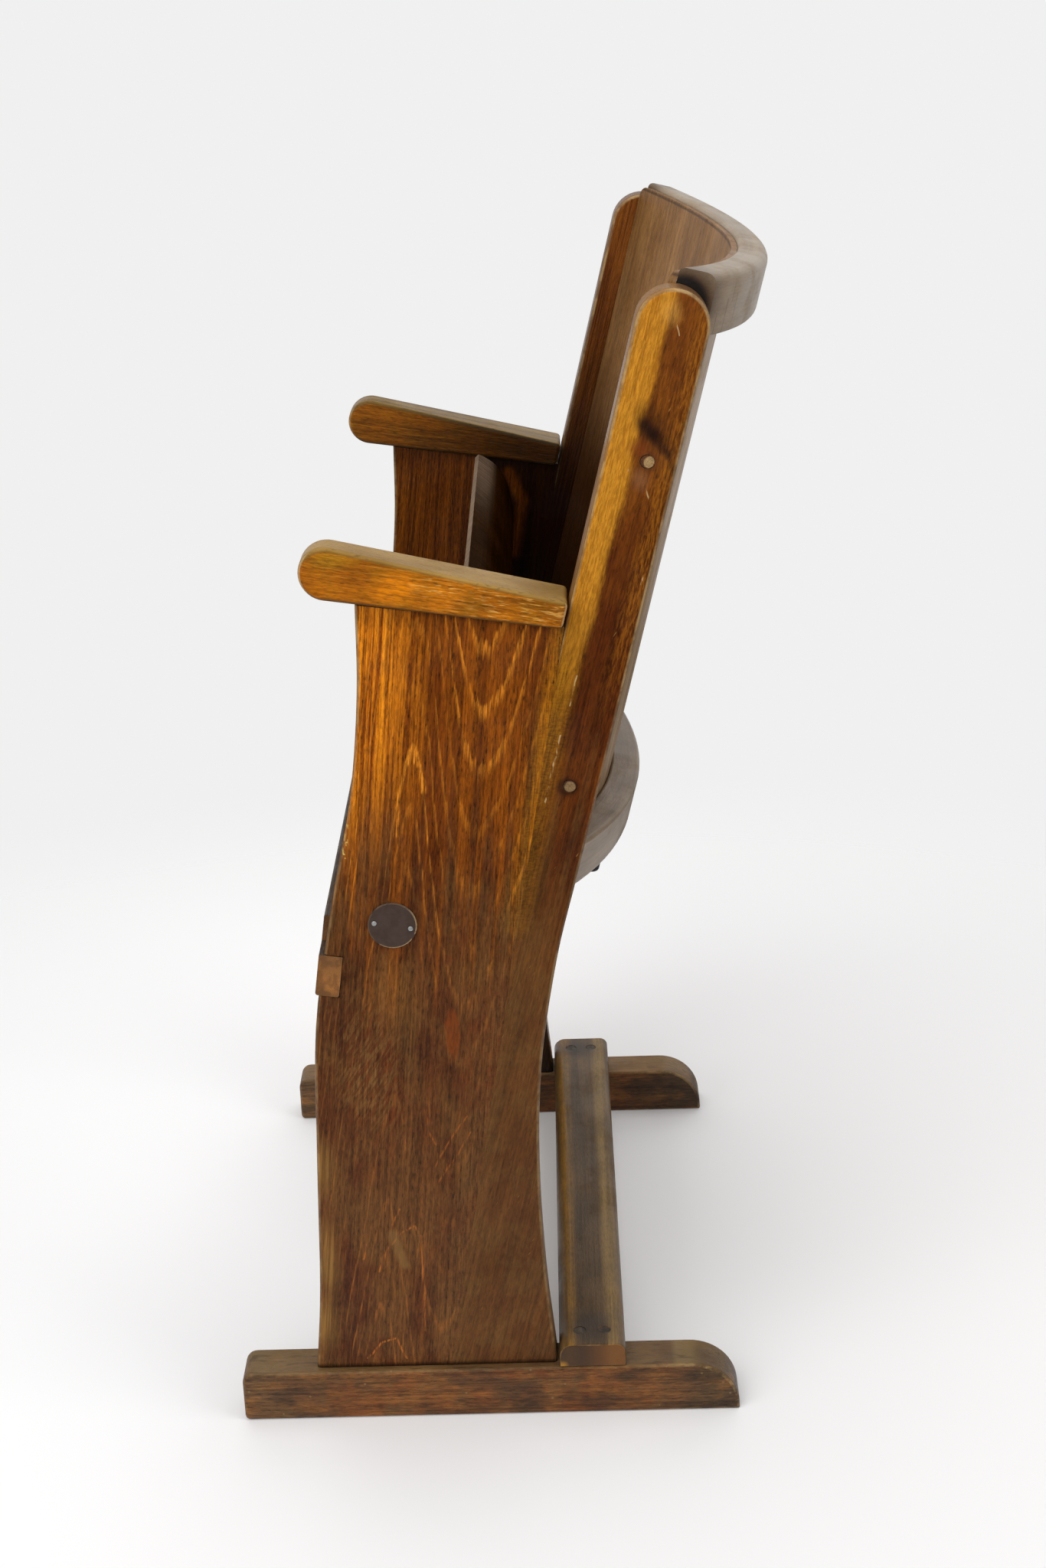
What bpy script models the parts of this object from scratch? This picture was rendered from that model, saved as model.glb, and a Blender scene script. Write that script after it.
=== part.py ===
"""Cinema seat: two sled-foot side frames, a bentwood back and a moulded seat that tips up.

Metres, +Z up. The sitter faces -Y, so the sitter's left is +X. At rest the seat is tipped up.
Side shapes are written as (y, z) from the middle of the feet; a root empty then centres the object.
The back is written as (x, v, u): u runs up the slope of the posts and v runs rearward, square to it.
The seat is written as (y, z) from its pivot, in the lowered position.
"""
import math

import bmesh
import bpy
from mathutils import Matrix, Vector

# Clearances
JOINT_GAP = 0.0003
HOLE_GAP = 0.0003
PIVOT_GAP = 0.0001
STOP_GAP = 0.0004
ARM_POST_GAP = 0.0012

# Feet
FEET_SPAN = 0.505
FOOT_LENGTH = 0.384
FOOT_HEIGHT = 0.042
FOOT_WIDTH = 0.035
FOOT_FRONT_RADIUS = 0.009
FOOT_BOTTOM_RADIUS = 0.004
FOOT_REAR_RADIUS = 0.038
FOOT_ARRIS = 0.0032

# Side boards and posts
PANEL_THICKNESS = 0.0245
PANEL_SETBACK = 0.007
PANEL_ARRIS = 0.0032
PANEL_FRONT_BOTTOM = -0.134
PANEL_REAR_BOTTOM = 0.052
PANEL_FRONT_TOP = -0.0697
GLUE_BOTTOM = -0.030
FRONT_EDGE = (
    (-0.1275, 0.115),
    (-0.1225, 0.230),
    (-0.1165, 0.335),
    (-0.0995, 0.430),
    (-0.0810, 0.515),
    (-0.0720, 0.590),
)
REAR_EDGE = (
    (0.0455, 0.120),
    (0.0430, 0.210),
    (0.0470, 0.300),
    (0.0605, 0.385),
)
POST_STRAIGHT_FROM = 0.450
POST_TOP = 0.8722
POST_FRONT = -0.0840
POST_REAR = -0.0345
TENON_THICKNESS = 0.011
TENON_DEPTH = 0.022
BOARD_TENON_Y = -0.082
BOARD_TENON_LENGTH = 0.060
POST_TENON_Y = 0.012
POST_TENON_LENGTH = 0.045

# Armrests
ARM_FRONT = -0.107
ARM_TOP_AT_ZERO = 0.6740
ARM_TOP_FALL = 0.254
ARM_UNDER_AT_ZERO = 0.6458
ARM_UNDER_FALL = 0.139
ARM_WIDTH_FRONT = 0.0245
ARM_WIDTH_REAR = 0.044
ARM_ARRIS = 0.0036
TONGUE_THICKNESS = 0.010
TONGUE_LENGTH = 0.090
TONGUE_HEIGHT = 0.009

# Back
BACK_SLOPE = math.radians(14)
BACK_RADIUS = 0.4555
BACK_PLY = 0.0045
BACK_PLY_BOTTOM = 0.4370
BACK_PLY_TOP = 0.8785
BACK_PLY_CORNER = 0.008
RAIL_THICKNESS = 0.023
RAIL_SETBACK = 0.001
RAIL_ROUND = 0.0075
TOP_RAIL_BOTTOM = 0.8400
TOP_RAIL_HEIGHT = 0.0425
LOWER_RAIL_BOTTOM = 0.4335
LOWER_RAIL_HEIGHT = 0.0365
RAIL_TENON_LENGTH = 0.012
RAIL_TENON_THICKNESS = 0.011
RAIL_TENON_HEIGHT = 0.014
RAIL_TENON_RISE = 0.0095
RAIL_TENON_DEPTH = 0.4
RAIL_TENON_ROOT = 0.004
CLEAT_WIDTH = 0.018
CLEAT_DEPTH = 0.018
DOWEL_RADIUS = 0.0046
DOWEL_V = -0.0550
LOWER_DOWEL_RISE = 0.0514
UPPER_DOWEL_DROP = 0.0827
DOWEL_SLANT = math.radians(20)
DOWEL_BITE = 0.011
BUMPER_X = 0.150
BUMPER_RADIUS = 0.0085
BUMPER_HEIGHT = 0.0095
BUMPER_STEM_RADIUS = 0.0035
BUMPER_STEM_LENGTH = 0.012

# Rear stretcher and its screws
STRETCHER_WIDTH = 0.051
STRETCHER_THICKNESS = 0.0197
STRETCHER_GAP = 0.0015
STRETCHER_FRONT_RADIUS = 0.010
STRETCHER_REAR_RADIUS = 0.007
STRETCHER_END_ROUND = 0.002
SCREW_INSET = 0.020
SCREW_PITCH = 0.019
SCREW_HEAD_RADIUS = 0.0048
SCREW_SHANK_RADIUS = 0.0022
SCREW_HEAD_HEIGHT = 0.0030
SCREW_BITE = 0.022
SCREW_SUNK = 0.0003

# Front rail
FRONT_RAIL_Y = -0.1151
FRONT_RAIL_Z = 0.3628
FRONT_RAIL_TILT = math.radians(8.5)
FRONT_RAIL_THICKNESS = 0.0175
FRONT_RAIL_HEIGHT = 0.0525
FRONT_RAIL_END_HEIGHT = 0.0325
FRONT_RAIL_PROUD = 0.0006
FRONT_RAIL_ARRIS = 0.0018

# Pivots
PIVOT_Y = -0.0562
PIVOT_Z = 0.4167
TIP_ANGLE = math.radians(107)
PIN_RADIUS = 0.006
COLLAR_RADIUS = 0.011
COLLAR_GAP = 0.0006
CUP_RADIUS = 0.010
CUP_FLOOR = 0.0025
PLATE_RADIUS = 0.0176
PLATE_THICKNESS = 0.0014
RIVET_RING = 0.0131
RIVET_TURN = math.radians(-10.5)
RIVET_HEAD_RADIUS = 0.0018
RIVET_HEAD_HEIGHT = 0.0006
RIVET_SHANK_RADIUS = 0.0011
RIVET_BITE = 0.012

# Seat
SEAT_SIDE_GAP = 0.0105
SEAT_PLY = 0.006
SEAT_CORNER = 0.013
SEAT_LINE = (
    (-0.2420, -0.0102),
    (-0.2365, 0.0036),
    (-0.2303, 0.0122),
    (-0.2220, 0.0198),
    (-0.2052, 0.0289),
    (-0.1870, 0.0350),
    (-0.1500, 0.0425),
    (-0.1150, 0.0440),
    (-0.0600, 0.0370),
    (0.0100, 0.0235),
    (0.0800, 0.0090),
    (0.1460, -0.0025),
)
BEARER_THICKNESS = 0.022
BEARER_INSET = 0.003
BEARER_FRONT = -0.200
BEARER_REAR = 0.125
BEARER_STEP_FRONT = -0.030
BEARER_STEP_REAR = -0.022
BEARER_REAR_DEPTH = 0.014
BEARER_REST_GAP = 0.0015
BATTEN_THICKNESS = 0.022
FRONT_BATTEN = (-0.165, -0.125)
REAR_BATTEN = (0.085, 0.118)

ROUND_STEPS = 32
SMALL_ROUND_STEPS = 18
ARC_STEPS = 26
WORLD_AXES = Matrix(((0, 0, 1), (1, 0, 0), (0, 1, 0))).to_4x4()
LEVEL_AXES = Matrix.Identity(4)
UPRIGHT_AXES = Matrix(((1, 0, 0), (0, 0, -1), (0, 1, 0))).to_4x4()

# Derived places shared by several pieces
half_span = FEET_SPAN / 2
panel_outer = half_span - PANEL_SETBACK
panel_inner = panel_outer - PANEL_THICKNESS
panel_mid = (panel_outer + panel_inner) / 2
foot_mid = half_span - FOOT_WIDTH / 2
panel_bottom = FOOT_HEIGHT + JOINT_GAP
rail_inner_radius = BACK_RADIUS + BACK_PLY + JOINT_GAP
rail_outer_radius = rail_inner_radius + RAIL_THICKNESS
rail_end = panel_inner - JOINT_GAP
back_centre = POST_REAR - RAIL_SETBACK - math.sqrt(rail_outer_radius ** 2 - panel_inner ** 2)
rail_mid_radius = (rail_inner_radius + rail_outer_radius) / 2
slope_sin = math.sin(BACK_SLOPE)
slope_cos = math.cos(BACK_SLOPE)
stretcher_mid = PANEL_REAR_BOTTOM + STRETCHER_GAP + STRETCHER_WIDTH / 2
dowel_heights = (LOWER_RAIL_BOTTOM + LOWER_RAIL_HEIGHT + LOWER_DOWEL_RISE,
                 TOP_RAIL_BOTTOM - UPPER_DOWEL_DROP)
seat_half = panel_inner - SEAT_SIDE_GAP
bearer_outer = seat_half - BEARER_INSET


def back_v(x, radius):
    """The v of a circle of the back at this x."""
    return back_centre + math.sqrt(radius ** 2 - x ** 2)


def from_back(v, u):
    """Turns a place on the slope into (y, z)."""
    return u * slope_sin + v * slope_cos, u * slope_cos - v * slope_sin


def post_edge(v, z):
    """The y of a line along the post, at this height."""
    return v / slope_cos + z * math.tan(BACK_SLOPE)


def arm_under(y):
    return ARM_UNDER_AT_ZERO - ARM_UNDER_FALL * y


def arm_top(y):
    return ARM_TOP_AT_ZERO - ARM_TOP_FALL * y


def arc(centre, radius, start, end, steps):
    """Points of an arc from one angle in degrees to another."""
    points = []
    for i in range(steps + 1):
        turn = math.radians(start + (end - start) * i / steps)
        points.append((centre[0] + radius * math.cos(turn), centre[1] + radius * math.sin(turn)))
    return points


def smooth(points, steps):
    """A smooth line through the points, with even steps between each two."""
    line = []
    for i in range(len(points) - 1):
        before = Vector(points[max(i - 1, 0)])
        start = Vector(points[i])
        end = Vector(points[i + 1])
        after = Vector(points[min(i + 2, len(points) - 1)])
        for k in range(steps):
            t = k / steps
            first = (end - before) * 0.5 if i else end - start
            last = (after - start) * 0.5 if i + 2 < len(points) else end - start
            place = start * (2 * t ** 3 - 3 * t ** 2 + 1) + end * (3 * t ** 2 - 2 * t ** 3)
            place += first * (t ** 3 - 2 * t ** 2 + t) + last * (t ** 3 - t ** 2)
            line.append(tuple(place))
    line.append(tuple(points[-1]))
    return line


def offset_line(line, distance):
    """The line moved sideways, to the right of its direction."""
    moved = []
    for i, point in enumerate(line):
        ahead = Vector(line[min(i + 1, len(line) - 1)]) - Vector(line[max(i - 1, 0)])
        ahead.normalize()
        moved.append((point[0] + ahead.y * distance, point[1] - ahead.x * distance))
    return moved


def between(line, low, high):
    """The part of a line whose first value lies from low to high, cut at both ends."""
    kept = []
    for start, end in zip(line, line[1:]):
        for cut in (low, high):
            if start[0] < cut <= end[0]:
                t = (cut - start[0]) / (end[0] - start[0])
                kept.append((cut, start[1] + (end[1] - start[1]) * t))
        if low < end[0] < high:
            kept.append(end)
    return sorted(set(kept))


def make_material(name, colour, roughness, metallic):
    material = bpy.data.materials.new(name)
    material.use_nodes = True
    shader = material.node_tree.nodes["Principled BSDF"]
    shader.inputs["Base Color"].default_value = (*colour, 1)
    shader.inputs["Roughness"].default_value = roughness
    shader.inputs["Metallic"].default_value = metallic
    return material


def finish_mesh(mesh, axes, smooth_angle):
    """Closes, turns and shades a mesh."""
    work = bmesh.new()
    work.from_mesh(mesh)
    bmesh.ops.remove_doubles(work, verts=work.verts, dist=1e-6)
    bmesh.ops.dissolve_limit(work, angle_limit=0.002, verts=work.verts, edges=work.edges)
    work.transform(axes)
    bmesh.ops.recalc_face_normals(work, faces=work.faces)
    if work.calc_volume(signed=True) < 0:
        bmesh.ops.reverse_faces(work, faces=work.faces)
    work.to_mesh(mesh)
    work.free()
    mesh.polygons.foreach_set("use_smooth", [True] * len(mesh.polygons))
    mesh.set_sharp_from_angle(angle=smooth_angle)
    return mesh


def mesh_from(source, name):
    """The evaluated mesh of a helper object, which is then removed."""
    bpy.context.scene.collection.objects.link(source)
    bpy.context.view_layer.update()
    graph = bpy.context.evaluated_depsgraph_get()
    mesh = bpy.data.meshes.new_from_object(source.evaluated_get(graph))
    data = source.data
    kind = bpy.data.curves if source.type == "CURVE" else bpy.data.meshes
    bpy.data.objects.remove(source, do_unlink=True)
    kind.remove(data)
    mesh.name = name
    return mesh


def plate(name, outline, thickness, axes=WORLD_AXES):
    """A filled outline given thickness, half to each side."""
    curve = bpy.data.curves.new(name, "CURVE")
    curve.dimensions = "2D"
    curve.fill_mode = "BOTH"
    curve.extrude = thickness / 2
    spline = curve.splines.new("POLY")
    spline.points.add(len(outline) - 1)
    for point, place in zip(spline.points, outline):
        point.co = (place[0], place[1], 0, 1)
    spline.use_cyclic_u = True
    mesh = mesh_from(bpy.data.objects.new(name + "_outline", curve), name)
    return finish_mesh(mesh, axes, math.radians(35))


def turned(name, profile, steps):
    """A profile of (radius, height) turned about Z, from the axis round to the axis again."""
    mesh = bpy.data.meshes.new(name)
    edges = [(i, i + 1) for i in range(len(profile) - 1)]
    mesh.from_pydata([(r, 0, h) for r, h in profile], edges, [])
    source = bpy.data.objects.new(name + "_profile", mesh)
    screw = source.modifiers.new("turn", "SCREW")
    screw.steps = steps
    screw.render_steps = steps
    screw.use_merge_vertices = True
    screw.merge_threshold = 1e-5
    return finish_mesh(mesh_from(source, name), LEVEL_AXES, math.radians(35))


def block(name, low, high):
    """A box from one corner to the other."""
    work = bmesh.new()
    bmesh.ops.create_cube(work, size=1)
    size = Vector(high) - Vector(low)
    middle = (Vector(high) + Vector(low)) / 2
    work.transform(Matrix.Translation(middle) @ Matrix.Diagonal((*size, 1)))
    mesh = bpy.data.meshes.new(name)
    work.to_mesh(mesh)
    work.free()
    return mesh


def rod(name, radius, length, steps):
    """A cylinder along Z, centred on the origin."""
    profile = [(0, -length / 2), (radius, -length / 2), (radius, length / 2), (0, length / 2)]
    return turned(name, profile, steps)


def add(mesh, material, parent, location=(0, 0, 0), rotation=(0, 0, 0)):
    piece = bpy.data.objects.new(mesh.name, mesh)
    mesh.materials.clear()
    mesh.materials.append(material)
    parts.objects.link(piece)
    piece.parent = parent
    piece.location = location
    piece.rotation_euler = rotation
    return piece


def combine(piece, mesh, operation, parent=None, location=(0, 0, 0), rotation=(0, 0, 0)):
    """Cuts or joins a helper shape; it is placed from the parent, or else from the piece itself."""
    helper = bpy.data.objects.new(mesh.name, mesh)
    cutters.objects.link(helper)
    helper.hide_render = True
    helper.display_type = "WIRE"
    helper.parent = parent or piece
    helper.location = location
    helper.rotation_euler = rotation
    modifier = piece.modifiers.new(mesh.name, "BOOLEAN")
    modifier.operation = operation
    modifier.solver = "EXACT"
    modifier.object = helper
    return helper


def soften(piece, width, segments, weights):
    """Rounds chosen edges: weights gives a weight from an edge's two ends, or 0 to leave it sharp."""
    mesh = piece.data
    layer = mesh.attributes.new("bevel_weight_edge", "FLOAT", "EDGE")
    for edge in mesh.edges:
        ends = [mesh.vertices[i].co for i in edge.vertices]
        layer.data[edge.index].value = weights(*ends)
    bevel = piece.modifiers.new("arris", "BEVEL")
    bevel.limit_method = "WEIGHT"
    bevel.width = width
    bevel.segments = segments
    bevel.use_clamp_overlap = False
    return bevel


def soften_sharp(piece, width, segments):
    """Rounds every edge that turns by more than 50 degrees."""
    bevel = piece.modifiers.new("arris", "BEVEL")
    bevel.limit_method = "ANGLE"
    bevel.angle_limit = math.radians(50)
    bevel.width = width
    bevel.segments = segments
    bevel.use_clamp_overlap = False
    return bevel


def on_line(points):
    """Edge weights for the two long arrises of a plate along a run of its outline."""
    places = {(round(y, 5), round(z, 5)) for y, z in points}

    def weight(first, second):
        flat = abs(first.x - second.x) < 1e-6
        kept = all((round(p.y, 5), round(p.z, 5)) in places for p in (first, second))
        return 1.0 if flat and kept else 0.0

    return weight


def make_empty(name, parent, location=(0, 0, 0), rotation=(0, 0, 0)):
    empty = bpy.data.objects.new(name, None)
    empty.empty_display_size = 0.05
    parts.objects.link(empty)
    empty.parent = parent
    empty.location = location
    empty.rotation_euler = rotation
    return empty


def make_foot(side, name):
    half = FOOT_LENGTH / 2
    outline = [(half, 0)]
    outline += arc((-half + FOOT_BOTTOM_RADIUS, FOOT_BOTTOM_RADIUS), FOOT_BOTTOM_RADIUS, 270, 180, 4)
    front = (-half + FOOT_FRONT_RADIUS, FOOT_HEIGHT - FOOT_FRONT_RADIUS)
    outline += arc(front, FOOT_FRONT_RADIUS, 180, 90, 6)
    rear = (half - FOOT_REAR_RADIUS, FOOT_HEIGHT - FOOT_REAR_RADIUS)
    outline += arc(rear, FOOT_REAR_RADIUS, 90, 0, 14)
    foot = add(plate(name, outline, FOOT_WIDTH), beech_dark, root, (side * foot_mid, 0, 0))
    soften(foot, FOOT_ARRIS, 3, lambda a, b: 1.0 if abs(a.x - b.x) < 1e-6 else 0.0)
    x = side * (panel_mid - foot_mid)
    for tag, y, length in (
        ("board", BOARD_TENON_Y, BOARD_TENON_LENGTH),
        ("post", POST_TENON_Y, POST_TENON_LENGTH),
    ):
        low = (x - TENON_THICKNESS / 2 - JOINT_GAP, y - length / 2 - JOINT_GAP,
               FOOT_HEIGHT - TENON_DEPTH - JOINT_GAP)
        high = (x + TENON_THICKNESS / 2 + JOINT_GAP, y + length / 2 + JOINT_GAP, FOOT_HEIGHT + 0.01)
        combine(foot, block(f"{name}_{tag}_mortise", low, high), "DIFFERENCE")
    for tag, step in (("front", -0.5), ("rear", 0.5)):
        hole = rod(f"{name}_{tag}_screw_hole", SCREW_SHANK_RADIUS + HOLE_GAP, 2 * SCREW_BITE,
                   SMALL_ROUND_STEPS)
        place = (side * (half_span - SCREW_INSET), stretcher_mid + step * SCREW_PITCH,
                 FOOT_HEIGHT + HOLE_GAP)
        combine(foot, hole, "DIFFERENCE", root, place)
    return foot


def make_side_board(side, name):
    corner = arm_corner()
    front_top = (PANEL_FRONT_TOP, arm_under(PANEL_FRONT_TOP) - JOINT_GAP)
    front = smooth([(PANEL_FRONT_BOTTOM, panel_bottom), *FRONT_EDGE, front_top], 5)
    glue_top = (corner[0] - JOINT_GAP, arm_under(corner[0] - JOINT_GAP) - JOINT_GAP)
    outline = front + [glue_top, (GLUE_BOTTOM - JOINT_GAP, panel_bottom)]
    board = add(plate(name, outline, PANEL_THICKNESS), beech, root, (side * panel_mid, 0, 0))
    soften(board, PANEL_ARRIS, 3, on_line(front))
    half = TENON_THICKNESS / 2
    low = (-half, BOARD_TENON_Y - BOARD_TENON_LENGTH / 2, FOOT_HEIGHT - TENON_DEPTH)
    high = (half, BOARD_TENON_Y + BOARD_TENON_LENGTH / 2, FOOT_HEIGHT + TENON_DEPTH)
    combine(board, block(name + "_tenon", low, high), "UNION")
    fall = -math.atan(ARM_UNDER_FALL)
    half = TONGUE_THICKNESS / 2
    low = (-half, -TONGUE_LENGTH / 2, -TONGUE_HEIGHT)
    high = (half, TONGUE_LENGTH / 2, TONGUE_HEIGHT)
    combine(board, block(name + "_tongue", low, high), "UNION", None,
            (0, 0, ARM_UNDER_AT_ZERO), (fall, 0, 0))
    notch = block(name + "_notch",
                  (-PANEL_THICKNESS, -FRONT_RAIL_THICKNESS / 2 - 0.03, -JOINT_GAP),
                  (PANEL_THICKNESS, FRONT_RAIL_THICKNESS / 2 + JOINT_GAP,
                   FRONT_RAIL_END_HEIGHT + JOINT_GAP))
    combine(board, notch, "DIFFERENCE", None, front_rail_place(), (-FRONT_RAIL_TILT, 0, 0))
    bore = rod(name + "_cup_bore", CUP_RADIUS + HOLE_GAP, 2 * PANEL_THICKNESS, ROUND_STEPS)
    combine(board, bore, "DIFFERENCE", None, (0, PIVOT_Y, PIVOT_Z), (0, math.pi / 2, 0))
    for tag, y, z in rivet_places():
        hole = rod(f"{name}_{tag}_hole", RIVET_SHANK_RADIUS + HOLE_GAP,
                   2 * RIVET_BITE + 2 * HOLE_GAP, SMALL_ROUND_STEPS)
        combine(board, hole, "DIFFERENCE", None,
                (side * PANEL_THICKNESS / 2, y, z), (0, math.pi / 2, 0))
    return board


def arm_corner():
    """Where the underside of the arm meets the front of the post."""
    z = ARM_UNDER_AT_ZERO - ARM_UNDER_FALL * POST_FRONT / slope_cos
    z /= 1 + ARM_UNDER_FALL * math.tan(BACK_SLOPE)
    return post_edge(POST_FRONT, z), z


def front_rail_place():
    """The middle of the front rail's bottom face, as (0, y, z)."""
    half = FRONT_RAIL_THICKNESS / 2
    return (0, FRONT_RAIL_Y + half * math.cos(FRONT_RAIL_TILT),
            FRONT_RAIL_Z - half * math.sin(FRONT_RAIL_TILT))


def rivet_places():
    """The two rivets of a pivot plate, as (name, y, z)."""
    y = RIVET_RING * math.cos(RIVET_TURN)
    z = RIVET_RING * math.sin(RIVET_TURN)
    return (("front_rivet", PIVOT_Y - y, PIVOT_Z - z), ("rear_rivet", PIVOT_Y + y, PIVOT_Z + z))


def make_post(side, name):
    rear_low = smooth([(PANEL_REAR_BOTTOM, panel_bottom), *REAR_EDGE,
                       (post_edge(POST_REAR, POST_STRAIGHT_FROM), POST_STRAIGHT_FROM)], 5)
    radius = (POST_REAR - POST_FRONT) / 2
    top = arc(((POST_REAR + POST_FRONT) / 2, POST_TOP - radius), radius, 0, 180, 20)
    upper = [from_back(v, u) for v, u in top]
    corner = arm_corner()
    outline = rear_low + upper + [corner, (GLUE_BOTTOM, panel_bottom)]
    post = add(plate(name, outline, PANEL_THICKNESS), beech, root, (side * panel_mid, 0, 0))
    soften(post, PANEL_ARRIS, 3, on_line(rear_low + upper + [corner]))
    half = TENON_THICKNESS / 2
    low = (-half, POST_TENON_Y - POST_TENON_LENGTH / 2, FOOT_HEIGHT - TENON_DEPTH)
    high = (half, POST_TENON_Y + POST_TENON_LENGTH / 2, FOOT_HEIGHT + TENON_DEPTH)
    combine(post, block(name + "_tenon", low, high), "UNION")
    for tag, u in rail_tenons():
        mortise = rail_tenon_block(f"{name}_{tag}_mortise", side, u, JOINT_GAP, panel_inner - 0.01)
        combine(post, mortise, "DIFFERENCE", back)
    for tag, u in zip(("lower", "upper"), dowel_heights):
        hole = rod(f"{name}_{tag}_dowel_hole", DOWEL_RADIUS + HOLE_GAP, 0.12, SMALL_ROUND_STEPS)
        combine(post, hole, "DIFFERENCE", back, *dowel_place(side, u))
    return post


def rail_tenons():
    """The two rails' tenon heights up the slope."""
    lower = LOWER_RAIL_BOTTOM + LOWER_RAIL_HEIGHT / 2
    return (("lower", lower), ("top", TOP_RAIL_BOTTOM + RAIL_TENON_RISE))


def rail_tenon_block(name, side, u, gap, start):
    """A stub tenon at a rail's end, or with a gap the mortise for it."""
    front = back_v(panel_inner, rail_inner_radius)
    v = front + RAIL_TENON_DEPTH * (back_v(panel_inner, rail_outer_radius) - front)
    xs = sorted((side * start, side * (panel_inner + RAIL_TENON_LENGTH + gap)))
    half_v = RAIL_TENON_THICKNESS / 2 + gap
    half_u = RAIL_TENON_HEIGHT / 2 + gap
    return block(name, (xs[0], v - half_v, u - half_u), (xs[1], v + half_v, u + half_u))


def dowel_place(side, u):
    """Where a dowel's axis crosses the post's outer face, and its rotation, in the back's frame."""
    return (side * panel_outer, DOWEL_V, u), (0, math.pi / 2, -side * DOWEL_SLANT)


def make_arm(side, name):
    steep = math.atan(ARM_TOP_FALL)
    shallow = math.atan(ARM_UNDER_FALL)
    meet = (ARM_TOP_AT_ZERO - ARM_UNDER_AT_ZERO) / (ARM_TOP_FALL - ARM_UNDER_FALL)
    middle = (steep + shallow) / 2
    spread = math.sin((steep - shallow) / 2)
    reach = (meet - ARM_FRONT) / (math.cos(middle) + spread)
    centre = (meet - reach * math.cos(middle), arm_top(meet) + reach * math.sin(middle))
    front = arc(centre, reach * spread, 90 - math.degrees(steep), 270 - math.degrees(shallow), 22)
    back_line = POST_FRONT - ARM_POST_GAP

    def cross(at_zero, fall):
        z = (at_zero - fall * back_line / slope_cos) / (1 + fall * math.tan(BACK_SLOPE))
        return post_edge(back_line, z), z

    top_rear = cross(ARM_TOP_AT_ZERO, ARM_TOP_FALL)
    under_rear = cross(ARM_UNDER_AT_ZERO, ARM_UNDER_FALL)
    mesh = plate(name, front + [under_rear, top_rear], 2)
    for vertex in mesh.vertices:
        t = (vertex.co.y - ARM_FRONT) / (top_rear[0] - ARM_FRONT)
        vertex.co.x *= (ARM_WIDTH_FRONT + (ARM_WIDTH_REAR - ARM_WIDTH_FRONT) * t) / 2
    arm = add(mesh, beech_arm, root, (side * panel_mid, 0, 0))
    soften_sharp(arm, ARM_ARRIS, 3)
    half = TONGUE_THICKNESS / 2 + JOINT_GAP
    mortise = block(name + "_mortise",
                    (-half, -TONGUE_LENGTH / 2 - JOINT_GAP, -0.01),
                    (half, TONGUE_LENGTH / 2 + JOINT_GAP, TONGUE_HEIGHT + JOINT_GAP))
    combine(arm, mortise, "DIFFERENCE", None, (0, 0, ARM_UNDER_AT_ZERO),
            (-math.atan(ARM_UNDER_FALL), 0, 0))
    return arm


def bent_outline(inner, outer, low, high, steps):
    """A strip between two circles of the back, from one x to another, as (x, v)."""
    xs = [low + (high - low) * i / steps for i in range(steps + 1)]
    return [(x, back_v(x, outer)) for x in xs] + [(x, back_v(x, inner)) for x in reversed(xs)]


def make_rail(name, bottom, height, tenon_u, rounds):
    """A bentwood rail with a stub tenon at each end; rounds gives its four arris weights."""
    outline = bent_outline(rail_inner_radius, rail_outer_radius, -rail_end, rail_end, ARC_STEPS)
    rail = add(plate(name, outline, height, LEVEL_AXES), beech_rail, back, (0, 0, bottom + height / 2))

    def weight(first, second):
        if abs(first.z - second.z) > 1e-6:
            return 0.0
        if abs(abs(first.x) - rail_end) < 1e-5 and abs(first.x - second.x) < 1e-5:
            return 0.0
        outer = first.y > back_v(first.x, rail_mid_radius)
        return rounds[(0 if first.z > 0 else 2) + (0 if outer else 1)]

    soften(rail, RAIL_ROUND, 4, weight)
    for side, tag in ((1, "left"), (-1, "right")):
        tenon = rail_tenon_block(f"{name}_{tag}_tenon", side, tenon_u, 0, rail_end - RAIL_TENON_ROOT)
        combine(rail, tenon, "UNION", back)
    return rail


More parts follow.
